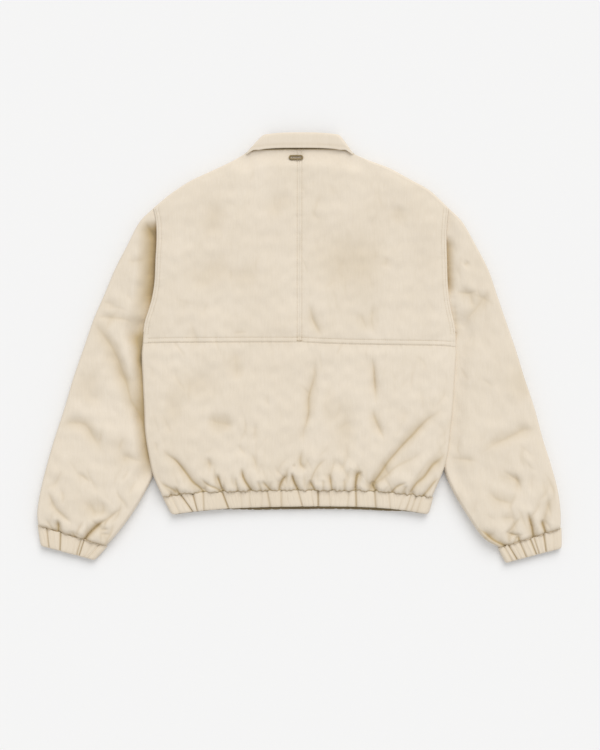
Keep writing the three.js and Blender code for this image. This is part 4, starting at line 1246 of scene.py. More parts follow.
class Wardrobe:
    """Finishes of the jacket, made once and shared by its pieces."""

    def __init__(self) -> None:
        """Builds every material."""
        self.cotton = ClothFinish().material()
        # Band cotton with a darker painted shade colour for its furrows and shaded strip.
        self.band = ClothFinish(
            name="gathered_cotton", light=(0.785, 0.695, 0.572, 1.0),
            dark=(0.70, 0.60, 0.465, 1.0), shade=(0.44, 0.335, 0.185, 1.0),
        ).material()
        self.thread = ThreadFinish().material()
        self.tape = TapeFinish().material()

    def dress(self, piece: bpy.types.Object, material: bpy.types.Material, slot: Slot,
              *nodes: str) -> bpy.types.Object:
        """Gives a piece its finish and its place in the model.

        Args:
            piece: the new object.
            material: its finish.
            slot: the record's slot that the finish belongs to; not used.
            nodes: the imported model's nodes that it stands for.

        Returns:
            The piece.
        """
        piece.data.materials.append(material)
        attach(piece, "root")
        if nodes:
            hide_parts(*nodes)
        return piece


@dataclass
class Stitching:
    """Rows of stitches, each one a small rounded grain of thread."""

    length: float = 2.9
    pitch: float = 3.6
    radius: float = 0.24
    sides: int = 6

    def rows(self, name: str, lines: Sequence[Tuple[Field, Field, Field]],
             up: float = 1.0) -> bpy.types.Object:
        """Lays stitches along lines on the cloth.

        Args:
            name: the piece's name.
            lines: X, Y and Z of the points along each row.
            up: 1 for cloth that faces up and -1 for cloth that faces down.

        Returns:
            The new object.
        """
        skin = Skin()
        for line in lines:
            self.row(skin, np.stack(line, axis=1), up)
        return skin.piece(name, 80.0)

    def row(self, skin: Skin, points: Field, up: float) -> None:
        """Adds one row to a skin.

        Args:
            skin: collects the stitches.
            points: the row's points.
            up: 1 for cloth that faces up and -1 for cloth that faces down.
        """
        steps = np.linalg.norm(np.diff(points, axis=0), axis=1)
        walked = np.concatenate(([0.0], np.cumsum(steps)))
        starts = np.arange(self.pitch / 2, walked[-1] - self.pitch, self.pitch)
        if not len(starts):
            return
        ends = starts + self.length
        a = np.stack([np.interp(starts, walked, points[:, k]) for k in range(3)], axis=1)
        b = np.stack([np.interp(ends, walked, points[:, k]) for k in range(3)], axis=1)
        along = b - a
        side = np.stack([-along[:, 1], along[:, 0], np.zeros(len(a))], axis=1)
        side /= np.linalg.norm(side, axis=1)[:, None]
        lift = np.array([0.0, 0.0, up])
        rings = ((0.0, 0.3, -0.1), (0.16, 0.9, 0.05), (0.5, 1.0, 0.16), (0.84, 0.9, 0.05),
                 (1.0, 0.3, -0.1))
        turns = np.arange(self.sides) * 2 * math.pi / self.sides
        for k in range(len(a)):
            loops = []
            for share, size, rise in rings:
                centre = a[k] + along[k] * share + lift * rise
                around = (
                    centre + np.outer(np.cos(turns), side[k]) * self.radius * size
                    + np.outer(np.sin(turns), lift) * self.radius * size
                )
                loops.append(around)
            block = np.stack(loops)
            grid = skin.grid(block[..., 0], block[..., 1], block[..., 2])
            skin.cover(np.concatenate([grid, grid[:, :1]], axis=1), up < 0)
            first, last = grid[0].tolist(), grid[-1].tolist()
            skin.faces.append(first if up > 0 else first[::-1])
            skin.faces.append(last[::-1] if up > 0 else last)


@dataclass
class Back:
    """Back of the jacket: a yoke in two halves over one lower panel."""

    shape: BodyShape
    wardrobe: Wardrobe
    stitching: Stitching
    step: float = 1.9

    def yoke_edges(self, side: Side, edge: Callable[[Field], Field],
                   drop: float) -> Tuple[Edge, Edge, Edge, Edge]:
        """Outline of half of the yoke.

        Args:
            side: which half.
            edge: X of its outer side at a height.
            drop: how far the shoulder is drawn in.

        Returns:
            Its four edges.
        """
        shape = self.shape
        centre = side.sign * SEAM_GAP / 2
        tip = side.tip - side.sign * ARMHOLE_GAP / 2

        def shoulder_y(x: Field) -> Field:
            """Height of the shoulder line."""
            return shape.shoulder(x) - drop * smooth((np.abs(x) - NECK_HALF) / 15)

        def seam_y(x: Field) -> Field:
            """Height of the yoke seam."""
            return shape.yoke_seam(x) + SEAM_GAP / 2

        top_x = float(edge(shoulder_y(tip)))
        bottom_x = float(edge(seam_y(shape.back[side](6.0))))

        def top(u: Field) -> Tuple[Field, Field]:
            """Shoulder and neck."""
            x = mix(top_x, centre, u)
            return x, shoulder_y(x)

        def bottom(u: Field) -> Tuple[Field, Field]:
            """Yoke seam."""
            x = mix(bottom_x, centre, u)
            return x, seam_y(x)

        def outside(v: Field) -> Tuple[Field, Field]:
            """Armhole and side."""
            y = mix(shoulder_y(top_x), seam_y(bottom_x), v)
            return np.where(v == 0, top_x, edge(y)), y

        def middle(v: Field) -> Tuple[Field, Field]:
            """Centre seam."""
            return centre + 0 * v, mix(shoulder_y(centre), seam_y(centre), v)

        return top, bottom, outside, middle

    def yoke(self, side: Side) -> bpy.types.Object:
        """Half of the yoke.

        Args:
            side: which half.

        Returns:
            The new piece.
        """
        shape, sign = self.shape, side.sign

        def plain(y: Field) -> Field:
            """Outer side of the outer face."""
            return shape.back[side](y) - sign * ARMHOLE_GAP / 2

        def hollow(y: Field) -> Field:
            """Outer side of the inner face."""
            strip = smooth((UNDERARM - y) / 14)
            return mix(plain(y), shape.front[side](y) - sign * SEAM_STRIP, strip)

        us = stations(255, self.step, [(0, 4, 0.6), (6, 8, 1.0), (251, 5, 0.7), (255, 4, 0.5)])
        vs = stations(300, self.step, [(0, 5, 0.6), (291, 6, 0.8), (300, 5, 0.5)])
        coarse = np.linspace(0, 1, 24)
        outer = Face(us, vs, self.yoke_edges(side, plain, 0.0), shape.back_top, shape.painted_fold_shade)
        inner = Face(coarse, coarse, self.yoke_edges(side, hollow, SEAM_STRIP + 1),
                     shape.back_inside)
        return padded_wall(f"yoke_{side.value}", outer, inner)

    def lower_edges(self, inset: float) -> Tuple[Edge, Edge, Edge, Edge]:
        """Outline of the lower panel, or of its inner face where inset isn't 0."""
        shape = self.shape
        curve = shape.front if inset else shape.back
        left, right = curve[Side.LEFT], curve[Side.RIGHT]
        low = (float(left(-257.0)) + inset, float(right(-257.0)) - inset)
        high = (float(left(4.0)) + inset, float(right(4.0)) - inset)

        def hem_y(x: Field) -> Field:
            """Height of the hem seam."""
            seam = shape.band_top(x) if inset else shape.hem_seam(x)
            return seam + SEAM_GAP / 2

        def seam_y(x: Field) -> Field:
            """Height of the yoke seam."""
            return shape.yoke_seam(x) - SEAM_GAP / 2

        def top(u: Field) -> Tuple[Field, Field]:
            """Yoke seam."""
            x = mix(high[0], high[1], u)
            return x, seam_y(x)

        def bottom(u: Field) -> Tuple[Field, Field]:
            """Seam of the hem band."""
            x = mix(low[0], low[1], u)
            return x, hem_y(x)

        def side_edge(which: int, sign: int, line: Curve) -> Edge:
            """Side seam on one side."""
            def edge(v: Field) -> Tuple[Field, Field]:
                """Side seam."""
                y = mix(seam_y(high[which]), hem_y(low[which]), v)
                x = line(y) - sign * inset
                x = np.where(v == 0, high[which], x)
                return np.where(v == 1, low[which], x), y
            return edge

        return top, bottom, side_edge(0, -1, left), side_edge(1, 1, right)

    def lower(self) -> bpy.types.Object:
        """Lower panel, from the yoke seam to the hem band."""
        shape = self.shape
        us = stations(540, 1.4, [(0, 6, 0.6), (540, 6, 0.6)])
        vs = stations(262, 1.7, [(0, 6, 0.6), (262, 20, 1.0), (262, 4, 0.5)])
        outer = Face(us, vs, self.lower_edges(0.0), shape.back_top, shape.painted_fold_shade)
        coarse = np.linspace(0, 1, 28)
        inner = Face(coarse, coarse, self.lower_edges(SEAM_STRIP), shape.back_inside)
        return padded_wall("lower_back", outer, inner)

    def on_back(self, x: Field, y: Field, lift: float = 0.12) -> Tuple[Field, Field, Field]:
        """Row of points on the back's outer face."""
        x, y = np.broadcast_arrays(np.asarray(x, float), np.asarray(y, float))
        return x, y, self.shape.back_top(x, y) + lift

    def stitches(self, side: Side) -> bpy.types.Object:
        """Stitch rows on half of the yoke: over its seam, beside the centre and the armhole.

        Args:
            side: which half.

        Returns:
            The new piece.
        """
        shape, sign = self.shape, side.sign
        xs = np.linspace(sign * 1.0, sign * 262.0, 330)
        y = np.linspace(13.0, 343.0, 260)
        arm_y = np.linspace(22.0, 244.0, 200)
        lines = [
            self.on_back(xs, shape.yoke_seam(xs) + shape.yoke_row),
            self.on_back(xs, shape.yoke_seam(xs) + 1.6),
            self.on_back(sign * shape.centre_row, y),
        ]
        for row in shape.armhole_rows:
            lines.append(self.on_back(shape.back[side](arm_y) - sign * (row + 0.4), arm_y))
        return self.stitching.rows(f"yoke_stitches_{side.value}", lines)

    def bar_tack(self) -> bpy.types.Object:
        """Short bar of close stitches at the foot of the centre seam."""
        close = Stitching(length=1.5, pitch=1.7, radius=0.34)
        lines = []
        for shift in (0.0, 0.8, 1.6):
            x = np.linspace(-5.4, 5.4, 24)
            lines.append(self.on_back(x, self.shape.yoke_seam(x) + 1.4 + shift, 0.3))
        return close.rows("bar_tack", lines)

    def build(self) -> List[bpy.types.Object]:
        """Returns:
            The panels.
        """
        made = []
        dress, cotton = self.wardrobe.dress, self.wardrobe.cotton
        for side in Side:
            panel = dress(self.yoke(side), cotton, Slot.COTTON, f"back_yoke_{side.value}")
            sewn = dress(self.stitches(side), self.wardrobe.thread, Slot.COTTON)
            if side is Side.LEFT:
                dress(self.bar_tack(), self.wardrobe.thread, Slot.COTTON)
            made.append(panel)
        panel = dress(self.lower(), cotton, Slot.COTTON, "back_lower")
        made.append(panel)
        return made


@dataclass
class Front:
    """Fronts of the jacket, below the back, and the strip that hides their closure."""

    shape: BodyShape
    wardrobe: Wardrobe
    stitching: Stitching
    step: float = 3.6

    def edges(self, side: Side, inset: float) -> Tuple[Edge, Edge, Edge, Edge]:
        """Outline of a front.

        Args:
            side: which front.
            inset: how far it is drawn in at the side and the shoulder.

        Returns:
            Its four edges.
        """
        shape, sign = self.shape, side.sign
        centre = sign * (PLACKET_WIDTH / 2 + SEAM_GAP)
        gap = sign * 1.2 * ARMHOLE_GAP
        tip = side.tip - gap

        def edge(y: Field) -> Field:
            """Armhole and side."""
            return shape.front[side](y) - gap - sign * inset * smooth((UNDERARM - y) / 14)

        def top_y(x: Field) -> Field:
            """Neck and shoulder."""
            slope = shape.shoulder(x) - inset * smooth((np.abs(x) - NECK_HALF) / 15)
            return np.where(np.abs(x) < NECK_HALF, shape.front_neck(x), slope)

        def hem_y(x: Field) -> Field:
            """Seam of the hem band."""
            return shape.band_top(x) + 2 * SEAM_GAP

        low = float(edge(shape.band_top(sign * 232.0)))

        def top_x(u: Field) -> Field:
            """X along the shoulder and then the neck."""
            neck = mix(sign * NECK_HALF, centre, (u - 1 + NECK_SHARE) / NECK_SHARE)
            return np.where(
                u > 1 - NECK_SHARE, neck, mix(tip, sign * NECK_HALF, u / (1 - NECK_SHARE))
            )

        def top(u: Field) -> Tuple[Field, Field]:
            """Shoulder and neck."""
            x = top_x(u)
            return x, top_y(x)

        def bottom(u: Field) -> Tuple[Field, Field]:
            """Seam of the hem band."""
            x = mix(low, centre, u)
            return x, hem_y(x)

        def outside(v: Field) -> Tuple[Field, Field]:
            """Armhole and side."""
            y = mix(top_y(np.array(tip)), hem_y(low), v)
            return np.where(v == 0, tip, edge(y)), y

        def middle(v: Field) -> Tuple[Field, Field]:
            """Closure."""
            return centre + 0 * v, mix(top_y(np.array(centre)), hem_y(centre), v)

        return top, bottom, outside, middle

    def panel(self, side: Side) -> bpy.types.Object:
        """One front."""
        us = np.unique(np.append(stations(250, self.step, [(0, 8, 0.8), (250, 8, 1.2)]),
                                 1 - NECK_SHARE))
        vs = stations(560, self.step, [(0, 8, 0.9)])
        shape = self.shape
        outer = Face(us, vs, self.edges(side, 0.0), shape.front_bottom)
        inner_us = np.unique(np.append(np.linspace(0, 1, 14), 1 - NECK_SHARE))
        inner = Face(inner_us, np.linspace(0, 1, 30), self.edges(side, SEAM_STRIP + 1),
                     shape.front_inside)
        return padded_wall(f"front_panel_{side.value}", outer, inner)

    def placket(self) -> bpy.types.Object:
        """Strip down the front, over the closure."""
        shape = self.shape
        half = PLACKET_WIDTH / 2
        hem = float(shape.band_bottom(0.0)) - shape.front_hem_drop

        def line(y_of: Callable[[Field], Field]) -> Edge:
            """Edge across the strip."""
            return lambda u: (mix(-half, half, u), y_of(mix(-half, half, u)))

        def down(x: float) -> Edge:
            """Edge down the strip."""
            return lambda v: (x + 0 * v, mix(float(shape.front_neck(x)) - 0.3, hem, v))

        def under(x: Field, y: Field) -> Field:
            """Face on the surface below, rounded at its edges and pressed in by its stitches."""
            rim = half - np.abs(x)
            return (
                1.6 * (1 - quarter(rim / 2.5)) + 0.7 * bell(rim - 6, 2)
                + np.maximum(shape.front_relief.uneven(x, 1.7 * y), 0) * 0.5 * smooth(rim / 6)
            )

        edges = (line(lambda x: shape.front_neck(x) - 0.3), line(lambda x: hem + 0 * x),
                 down(-half), down(half))
        us = stations(PLACKET_WIDTH, 1.4, [(0, 2, 0.5), (PLACKET_WIDTH, 2, 0.5)])
        outer = Face(us, stations(547, 4.0), edges, under)
        inner = Face(np.linspace(0, 1, 5), stations(547, 14, [(547, 14, 2)]), edges,
                     lambda x, y: shape.placket_depth - 3 * smooth((hem + 14 - y) / 12),
                     # Painted deep shade on the inner face's lower end, where it shows beneath the
                     # hem band.
                     lambda x, y: 1.9 * smooth((hem + 16 - y) / 4))
        return padded_wall("placket", outer, inner)

    def build(self) -> List[bpy.types.Object]:
        shape = self.shape
        made = []
        dress, cotton = self.wardrobe.dress, self.wardrobe.cotton
        for side in Side:
            panel = dress(self.panel(side), cotton, Slot.COTTON, f"front_{side.value}")
            x0 = side.sign * (PLACKET_WIDTH / 2 + 5)
            y = np.linspace(-240.0, 262.0, 200)
            x = x0 + 0 * y
            line = (x, y, shape.front_bottom(x, y) - 0.1)
            sewn = self.stitching.rows(f"front_stitches_{side.value}", [line], -1.0)
            sewn = dress(sewn, self.wardrobe.thread, Slot.COTTON)
            made.append(panel)
        panel = dress(self.placket(), cotton, Slot.COTTON, "front_placket")
        made.append(panel)
        return made


@dataclass
class Sleeve:
    """Padded sleeve, flattened as it lies, with its inner edge tucked beside the body."""

    side: Side
    shape: BodyShape
    wardrobe: Wardrobe
    stitching: Stitching
    loft: float = 23.0
    edge: float = 10.0
    tuck_tops: Tuple[float, float] = (11.0, 15.5)
    tuck_edge: float = 5.4
    underarm_rise: float = 7.5
    tuck_gap: float = 1.6
    cuff_seam_top: float = 13.0
    hollow_inset: float = 6.5
    step: float = 2.1

    def __post_init__(self) -> None:
        """Works out the outline and the creases."""
        table = SLEEVE_SECTIONS[self.side.value]
        sign, front = self.side.sign, self.shape.front[self.side]
        index = np.arange(len(table.rows))
        inner_x = table.column("inner_x")
        tucked = np.isnan(inner_x)
        inner_x = np.where(tucked, front(table.column("inner_y")) + sign * self.tuck_gap, inner_x)
        self.last = len(index) - 1
        self.tucked = int(tucked.sum()) - 1
        self.outer_x = Curve(index, table.column("outer_x"))
        self.outer_y = Curve(index, table.column("outer_y"))
        self.inner_x = Curve(index, inner_x)
        self.inner_y = Curve(index, table.column("inner_y"))
        shares = np.linspace(0, 1, 57)
        self.outer_line = BodyShape.line(*self.outer_edge(shares))
        self.inner_line = BodyShape.line(*self.inner_edge(shares))
        arm_y = mix(SHOULDER_TIP, UNDERARM, np.linspace(0, 1, 33))
        self.arm_line = BodyShape.line(self.shape.back[self.side](arm_y), arm_y)
        ends = np.array([1.0])
        self.cuff_line = Line([
            [float(value[0]) for value in self.outer_edge(ends)],
            [float(value[0]) for value in self.inner_edge(ends)],
        ])
        seed = 100 if self.side is Side.LEFT else 140
        low, high = sorted((self.side.sign * 250.0, self.side.sign * 450.0))
        small = [
            scattered(seed + 1, 36, (low, -330), (high, 200), 0.7),
            scattered(seed + 2, 14, (low, -330), (high, -230), 1.2),
            scattered(seed + 3, 16, (low, -352), (high, -322), 1.6),
        ]
        self.relief = Relief([SLEEVE_CREASES[self.side.value], *small], seed,
                             held=[CUFF_FOLDS[self.side.value]])
        self.under_relief = Relief([self.mirrored()], seed + 20, calm=0.5)
        table = CUFF_GATHERS[self.side.value]
        self.gathers = Gathers(table.column("share"), table.column("depth"), 0.05)
        self.arm_pucker = Ripple(seed + 30, 7, 18, 14, (1.27, 1.87))

    def outer_edge(self, u: Field) -> Tuple[Field, Field]:
        """Edge that lies away from the body."""
        place = u * self.last
        gap = self.side.sign * ARMHOLE_GAP / 2
        return self.outer_x(place) + gap * (1 - smooth(place)), self.outer_y(place)

    def inner_edge(self, u: Field) -> Tuple[Field, Field]:
        """Edge that lies against the body and then free."""
        place = u * self.last
        y = self.inner_y(place)
        gap = mix(ARMHOLE_GAP / 2, self.tuck_gap, smooth(place))
        beside = self.shape.front[self.side](y) + self.side.sign * gap
        return np.where(place < self.tucked, beside, self.inner_x(place)), y

    def scallop(self, share: Field) -> Tuple[Field, Field]:
        """How far the puffs hang over the cuff at a share across, in X and Y."""
        down = np.array(CUFF_OPENINGS[self.side.value][0]) - self.cuff_line.points[0]
        down = down / np.hypot(*down)
        ends = smooth(np.minimum(share, 1 - share) / 0.1)
        reach = ends * (1.2 - 3.2 * self.gathers.valley(share, 0.9))
        return down[0] * reach, down[1] * reach

    def mirrored(self) -> Table:
        """Creases of the hidden side: those that show, moved along the sleeve and eased."""
        rows = SLEEVE_CREASES[self.side.value].rows[:8].copy()
        rows[:, 1:6:2] += np.array([[-26.0, -26.0, -26.0]])
        rows[:, 0:6:2] -= self.side.sign * 12.0
        rows[:, 7] *= 0.6
        return Table(CREASE_COLUMNS, rows)

    def tuck(self, y: Field) -> Field:
        """How far the inner edge is tucked under the body, from 0 to 1."""
        return smooth((y + 258) / 46)

    def plain(self, x: Field, y: Field) -> Field:
        """Upper face without its creases.

        Args:
            x: X of the places.
            y: Y of the places.

        Returns:
            Heights above the surface below.
        """
        inner = self.inner_line.gap(x, y)
        outer = self.outer_line.gap(x, y)
        arm, along = self.arm_line.nearest(x, y)
        full = self.loft + 1
        opened = rolled(inner, self.edge, full, 5, 30, 0.7)
        tuck_top = self.tuck_tops[self.side is Side.RIGHT]
        shelf = mix(self.tuck_height(y), tuck_top, quarter(inner / 6))
        shelf = shelf + (full - tuck_top) * smooth((inner - 13) / 30)
        arm_top = self.arm_height(y)
        cuff = self.cuff_line.gap(x, y)
        return soft_min(
            rolled(outer, self.edge, full, 4.5, 30, 0.7),
            mix(opened, shelf, self.tuck(y)),
            mix(arm_top, full, self.arm_rise(arm, y)),
            rolled(cuff, self.cuff_seam_top, full, 9, 40, 0.6),
        )

    def arm_rise(self, gap: Field, y: Field) -> Field:
        """How fast the sleeve fills out from its armhole, as a share of its loft."""
        reach = 32.0 if self.side is Side.LEFT else 26.0
        return 0.5 * clamp(gap / reach) + 0.5 * np.sin(0.5 * math.pi * clamp(gap / reach))

    def arm_height(self, y: Field) -> Field:
        """Height of the sleeve at its armhole: flush with the body, but for a deep pocket."""
        if self.side is Side.LEFT:
            pocket = smooth((224 - y) / 26) * (0.45 + 0.55 * smooth((y - 58) / 40))
            return 18.2 - 11.5 * pocket
        pocket = smooth((196 - y) / 22) * smooth((y - 84) / 26)
        return 17.6 - 6.5 * pocket - 1.2 * smooth((84 - y) / 30)

    def rim(self, x: Field, y: Field) -> Field:
        """Distance from the nearer long edge."""
        return np.minimum(self.inner_line.gap(x, y), self.outer_line.gap(x, y))

    def top(self, x: Field, y: Field) -> Field:
        """Upper face with its creases.

        Args:
            x: X of the places.
            y: Y of the places.

        Returns:
            Heights above the surface below.
        """
        arm = self.arm_line.gap(x, y)
        calm = smooth(self.rim(x, y) / 16) * np.minimum(1, arm / 14 + 0.12)
        uneven = self.relief.uneven(x, y) - self.relief.folds(x, y)
        tug = 0.1 * self.arm_pucker(0 * x, y) * bell(arm - 4, 9)
        plain = self.plain(x, y)
        least = np.minimum(plain, (plain + self.bottom(x, y)) / 2 + SLOT / 2 + 1.0)
        return np.maximum(plain + uneven * calm - tug * smooth(self.rim(x, y) / 10), least)

    def painted_fold_shade(self, x: Field, y: Field) -> Field:
        """Amount of painted shade on the upper face: in its creases, in the armhole pocket, along
        the tucked inner edge and beside the cuff seam.
        """
        arm, inner = self.arm_line.gap(x, y), self.inner_line.gap(x, y)
        tucked = self.tuck(y) * smooth((UNDERARM + 10 - y) / 34)
        # Painted shade: a pocket of shade at the armhole and a dark strip along the inner edge
        # beside the body.
        if self.side is Side.LEFT:
            pocket = (18.2 - self.arm_height(y)) / 11.5 * clamp(1 - arm / 34) ** 1.1
            beside = clamp(1 - (inner - 12) / 22) * smooth((y + 240) / 60)
            under = 1.1 * beside**1.5 + 0.9 * bell(y + 20, 14) * beside**3
        else:
            pocket = 0.6 * (17.6 - self.arm_height(y)) / 6.5 * bell(arm, 9)
            under = 0.0
        # Painted shade along the cuff seam, under the puffs.
        cuff = 0.35 * bell(self.cuff_line.gap(x, y), 3.5)
        return self.relief.mark(x, y) + 1.35 * pocket + tucked * under + cuff

    def tuck_height(self, y: Field) -> Field:
        """Height of the tucked edge, which comes up towards the body at the underarm."""
        return self.tuck_edge + self.underarm_rise * smooth((y - UNDERARM + 26) / 24)

    def edge_height(self, y: Field, inner: bool) -> Field:
        """Height of a long edge."""
        return mix(self.edge, self.tuck_height(y), self.tuck(y)) if inner else self.edge + 0 * y

    def bottom(self, x: Field, y: Field) -> Field:
        """Lower face, flat on the surface below, without its creases."""
        return np.maximum(
            self.edge * (1 - quarter(self.outer_line.gap(x, y) / 12)),
            self.edge_height(y, True) * (1 - quarter(self.inner_line.gap(x, y) / 8)),
        )

    def under(self, x: Field, y: Field) -> Field:
        """Lower face with its creases pressed in."""
        raised = np.maximum(self.under_relief.folds(x, y), 0)
        raised += np.maximum(-self.under_relief.uneven(x, y) - 0.15, 0)
        return self.bottom(x, y) + raised * smooth(self.rim(x, y) / 26 - 0.2)

    def plan(self, shares: Field, us: Field) -> Tuple[Field, Field]:
        """Grid over the sleeve in plan.

        Args:
            shares: shares across, from the outer edge.
            us: shares along, from the armhole.

        Returns:
            X and Y, a row for each share along.
        """
        gap = self.side.sign * ARMHOLE_GAP / 2
        back = self.shape.back[self.side]

        def armhole(v: Field) -> Tuple[Field, Field]:
            """Armhole."""
            y = mix(SHOULDER_TIP, UNDERARM, v)
            return back(y) + gap, y

        def cuff(v: Field) -> Tuple[Field, Field]:
            """Seam of the cuff."""
            (ax, ay), (bx, by) = self.cuff_line.points
            over_x, over_y = self.scallop(v)
            return mix(ax, bx, v) + over_x, mix(ay, by, v) + over_y

        return coons(armhole, cuff, self.outer_edge, self.inner_edge, shares, us)

    def tube(self) -> bpy.types.Object:
        """The sleeve's own mesh: a padded tube, open at both ends."""
        skin = Skin()
        us = stations(560, self.step, [(0, 10, 0.9), (560, 14, 1.1)])
        upper = stations(190, 1.9, [(0, 5, 0.45), (190, 5, 0.45)])
        lower = stations(190, 4.6, [(0, 6, 0.7), (190, 6, 0.7)])
        x, y = self.plan(upper, us)
        z = self.top(x, y)
        z[:, 0], z[:, -1] = self.edge_height(y[:, 0], False), self.edge_height(y[:, -1], True)
        above = skin.grid(x, y, z, self.painted_fold_shade(x, y))
        x, y = self.plan(lower[1:-1], us)
        below = skin.grid(x, y, self.under(x, y))
        outside = np.concatenate([above, below[:, ::-1], above[:, :1]], axis=1)
        turns = np.concatenate([upper, 2 - lower[1:-1][::-1], [2.0]])
        inner_us = stations(560, 14.0, [(0, 20, 5.0), (560, 20, 5.0)])
        across = np.array([0, 0.04, 0.15, 0.3, 0.45, 0.6, 0.75, 0.88, 0.96, 1])
        x0, y0 = self.plan(np.array([0.0, 1.0]), inner_us)
        width = np.hypot(x0[:, 1] - x0[:, 0], y0[:, 1] - y0[:, 0])
        inset = (self.hollow_inset / width)[:, None]
        rows = []
        for flip in (1, -1):
            places = across if flip > 0 else across[1:-1]
            shares = mix(inset, 1 - inset, places[None, :])
            grids = [self.plan(shares[k], inner_us[k : k + 1]) for k in range(len(inner_us))]
            x = np.concatenate([grid[0] for grid in grids])
            y = np.concatenate([grid[1] for grid in grids])
            half = np.where((places == 0) | (places == 1), 0.0, SLOT / 2)[None, :]
            z = (self.plain(x, y) + self.bottom(x, y)) / 2 + flip * half
            rows.append(skin.grid(x, y, z))
        inside = np.concatenate([rows[0], rows[1][:, ::-1], rows[0][:, :1]], axis=1)
        inner_turns = np.concatenate([across, 2 - across[1:-1][::-1], [2.0]])
        skin.cover(outside)
        skin.cover(inside, True)
        skin.join(outside[0], turns, inside[0], inner_turns)
        skin.join(outside[-1], turns, inside[-1], inner_turns, True)
        return skin.piece(f"sleeve_tube_{self.side.value}")

    def build(self) -> bpy.types.Object:
        name = self.side.value
        dress = self.wardrobe.dress
        sleeve = dress(self.tube(), self.wardrobe.cotton, Slot.COTTON, f"sleeve_{name}")
        return sleeve


def sweep(name: str, rings: Field, folds: Optional[Field], closed: bool) -> bpy.types.Object:
    """Mesh through a list of rings, closed into a ring itself or with flat ends.

    Args:
        name: the piece's name.
        rings: points of each ring, as an array of ring, point and axis.
        folds: amount of painted shade at each point.
        closed: joins the last ring to the first.

    Returns:
        The new object.
    """
    skin = Skin()
    grid = skin.grid(rings[..., 0], rings[..., 1], rings[..., 2], folds)
    turned = np.concatenate([grid, grid[:, :1]], axis=1)
    if closed:
        turned = np.concatenate([turned, turned[:1]], axis=0)
    skin.cover(turned)
    if not closed:
        skin.faces.append(grid[0].tolist())
        skin.faces.append(grid[-1][::-1].tolist())
    return skin.piece(name)


def rounded_outline(points: Sequence[Spot], per_span: int, closed: bool = True) -> Field:
    """Smooth closed outline through a few points.

    Args:
        points: the corners in order.
        per_span: points on each span.
        closed: joins the last corner to the first with a curve, too.

    Returns:
        The outline's points.
    """
    base = np.asarray(points, float)
    count = len(base)
    result = []
    for i in range(count):
        before, here = base[(i - 1) % count], base[i]
        after, beyond = base[(i + 1) % count], base[(i + 2) % count]
        straight = not closed and i == count - 1
        for t in np.arange(per_span) / per_span:
            if straight:
                result.append(mix(here, after, t))
                continue
            result.append(0.5 * (
                2 * here + (after - before) * t + (2 * before - 5 * here + 4 * after - beyond) * t**2
                + (3 * here - before - 3 * after + beyond) * t**3
            ))
    return np.array(result)


@dataclass
class Layers:
    """Heights and thickness of a flattened band."""

    back: float
    front: float
    thick: float
    gather: float


@dataclass
class Band:
    """Gathered band of doubled cloth over elastic, swept round a flattened ring."""

    layers: Layers
    seed: int

    def outline(self) -> Field:
        """Section of the band: share from the seam to the free edge, and offset outwards."""
        outer = [(0.0, 0.42), (0.02, 0.48), (0.1, 0.5), (0.3, 0.54), (0.5, 0.55), (0.7, 0.54),
                 (0.86, 0.5), (0.96, 0.36), (1.0, 0.05)]
        inner = [(1.0, -0.2), (0.96, -0.42), (0.88, -0.5), (0.5, -0.5), (0.1, -0.5),
                 (0.02, -0.42), (0.0, -0.1)]
        return rounded_outline([*outer, *inner], 2)

    def rings(self, top: Field, bottom: Field, angle: Field, valley: Field,
              along: Field, across: Field) -> Tuple[Field, Field]:
        """Points of the band.

        Args:
            top: points of the seam, one for each station.
            bottom: points of the free edge.
            angle: way that the outer side faces at each station, 90 degrees for up.
            valley: depth of the furrow at each station, from 0 to 1.
            along: place of each station along the band, for its small ribs.
            across: direction across the flattened ring, in plan.

        Returns:
            The rings, and the painted shade at each point: in the furrows, and a painted deep shadow
            on the front layer's inner face by its free edge.
        """
        outline = self.outline()
        layers = self.layers
        radius = (layers.back - layers.front) / 2
        centre_z = (layers.back + layers.front) / 2
        share, offset = outline[:, 0][None, :], outline[:, 1][None, :]
        outside = smooth(offset / 0.5 + 0.2)
        deep = valley[:, None] * layers.gather * (0.75 + 0.25 * np.abs(2 * share - 1))
        rib = Ripple(self.seed, 3.4, 8.5, 16, (-0.25, 0.25))
        deep = deep + 0.17 * rib(along[:, None], 26 * share) * (1 - 0.5 * valley[:, None])
        reach = radius + offset * layers.thick - np.where(offset > 0, deep * outside, 0)
        turn = np.radians(angle)[:, None]
        pull = 0.035 * valley[:, None] * (share - 0.5) * 2
        x = mix(top[:, 0][:, None], bottom[:, 0][:, None], share - pull)
        y = mix(top[:, 1][:, None], bottom[:, 1][:, None], share - pull)
        side = np.cos(turn) * reach
        z = np.maximum(centre_z + np.sin(turn) * reach, 0.03)
        rings = np.stack([x + across[0] * side, y + across[1] * side, z], axis=2)
        # Painted shade in the furrows, and painted deep shadow on the front layer's inner strip
        # under the back layer.
        folds = 1.05 * valley[:, None] ** 2 * outside * (offset > 0)
        painted_strip_shadow = (offset < 0) * smooth((share - 0.6) / 0.3) * smooth(-np.sin(turn) * 2)
        return rings, np.maximum(folds, 1.9 * painted_strip_shadow)


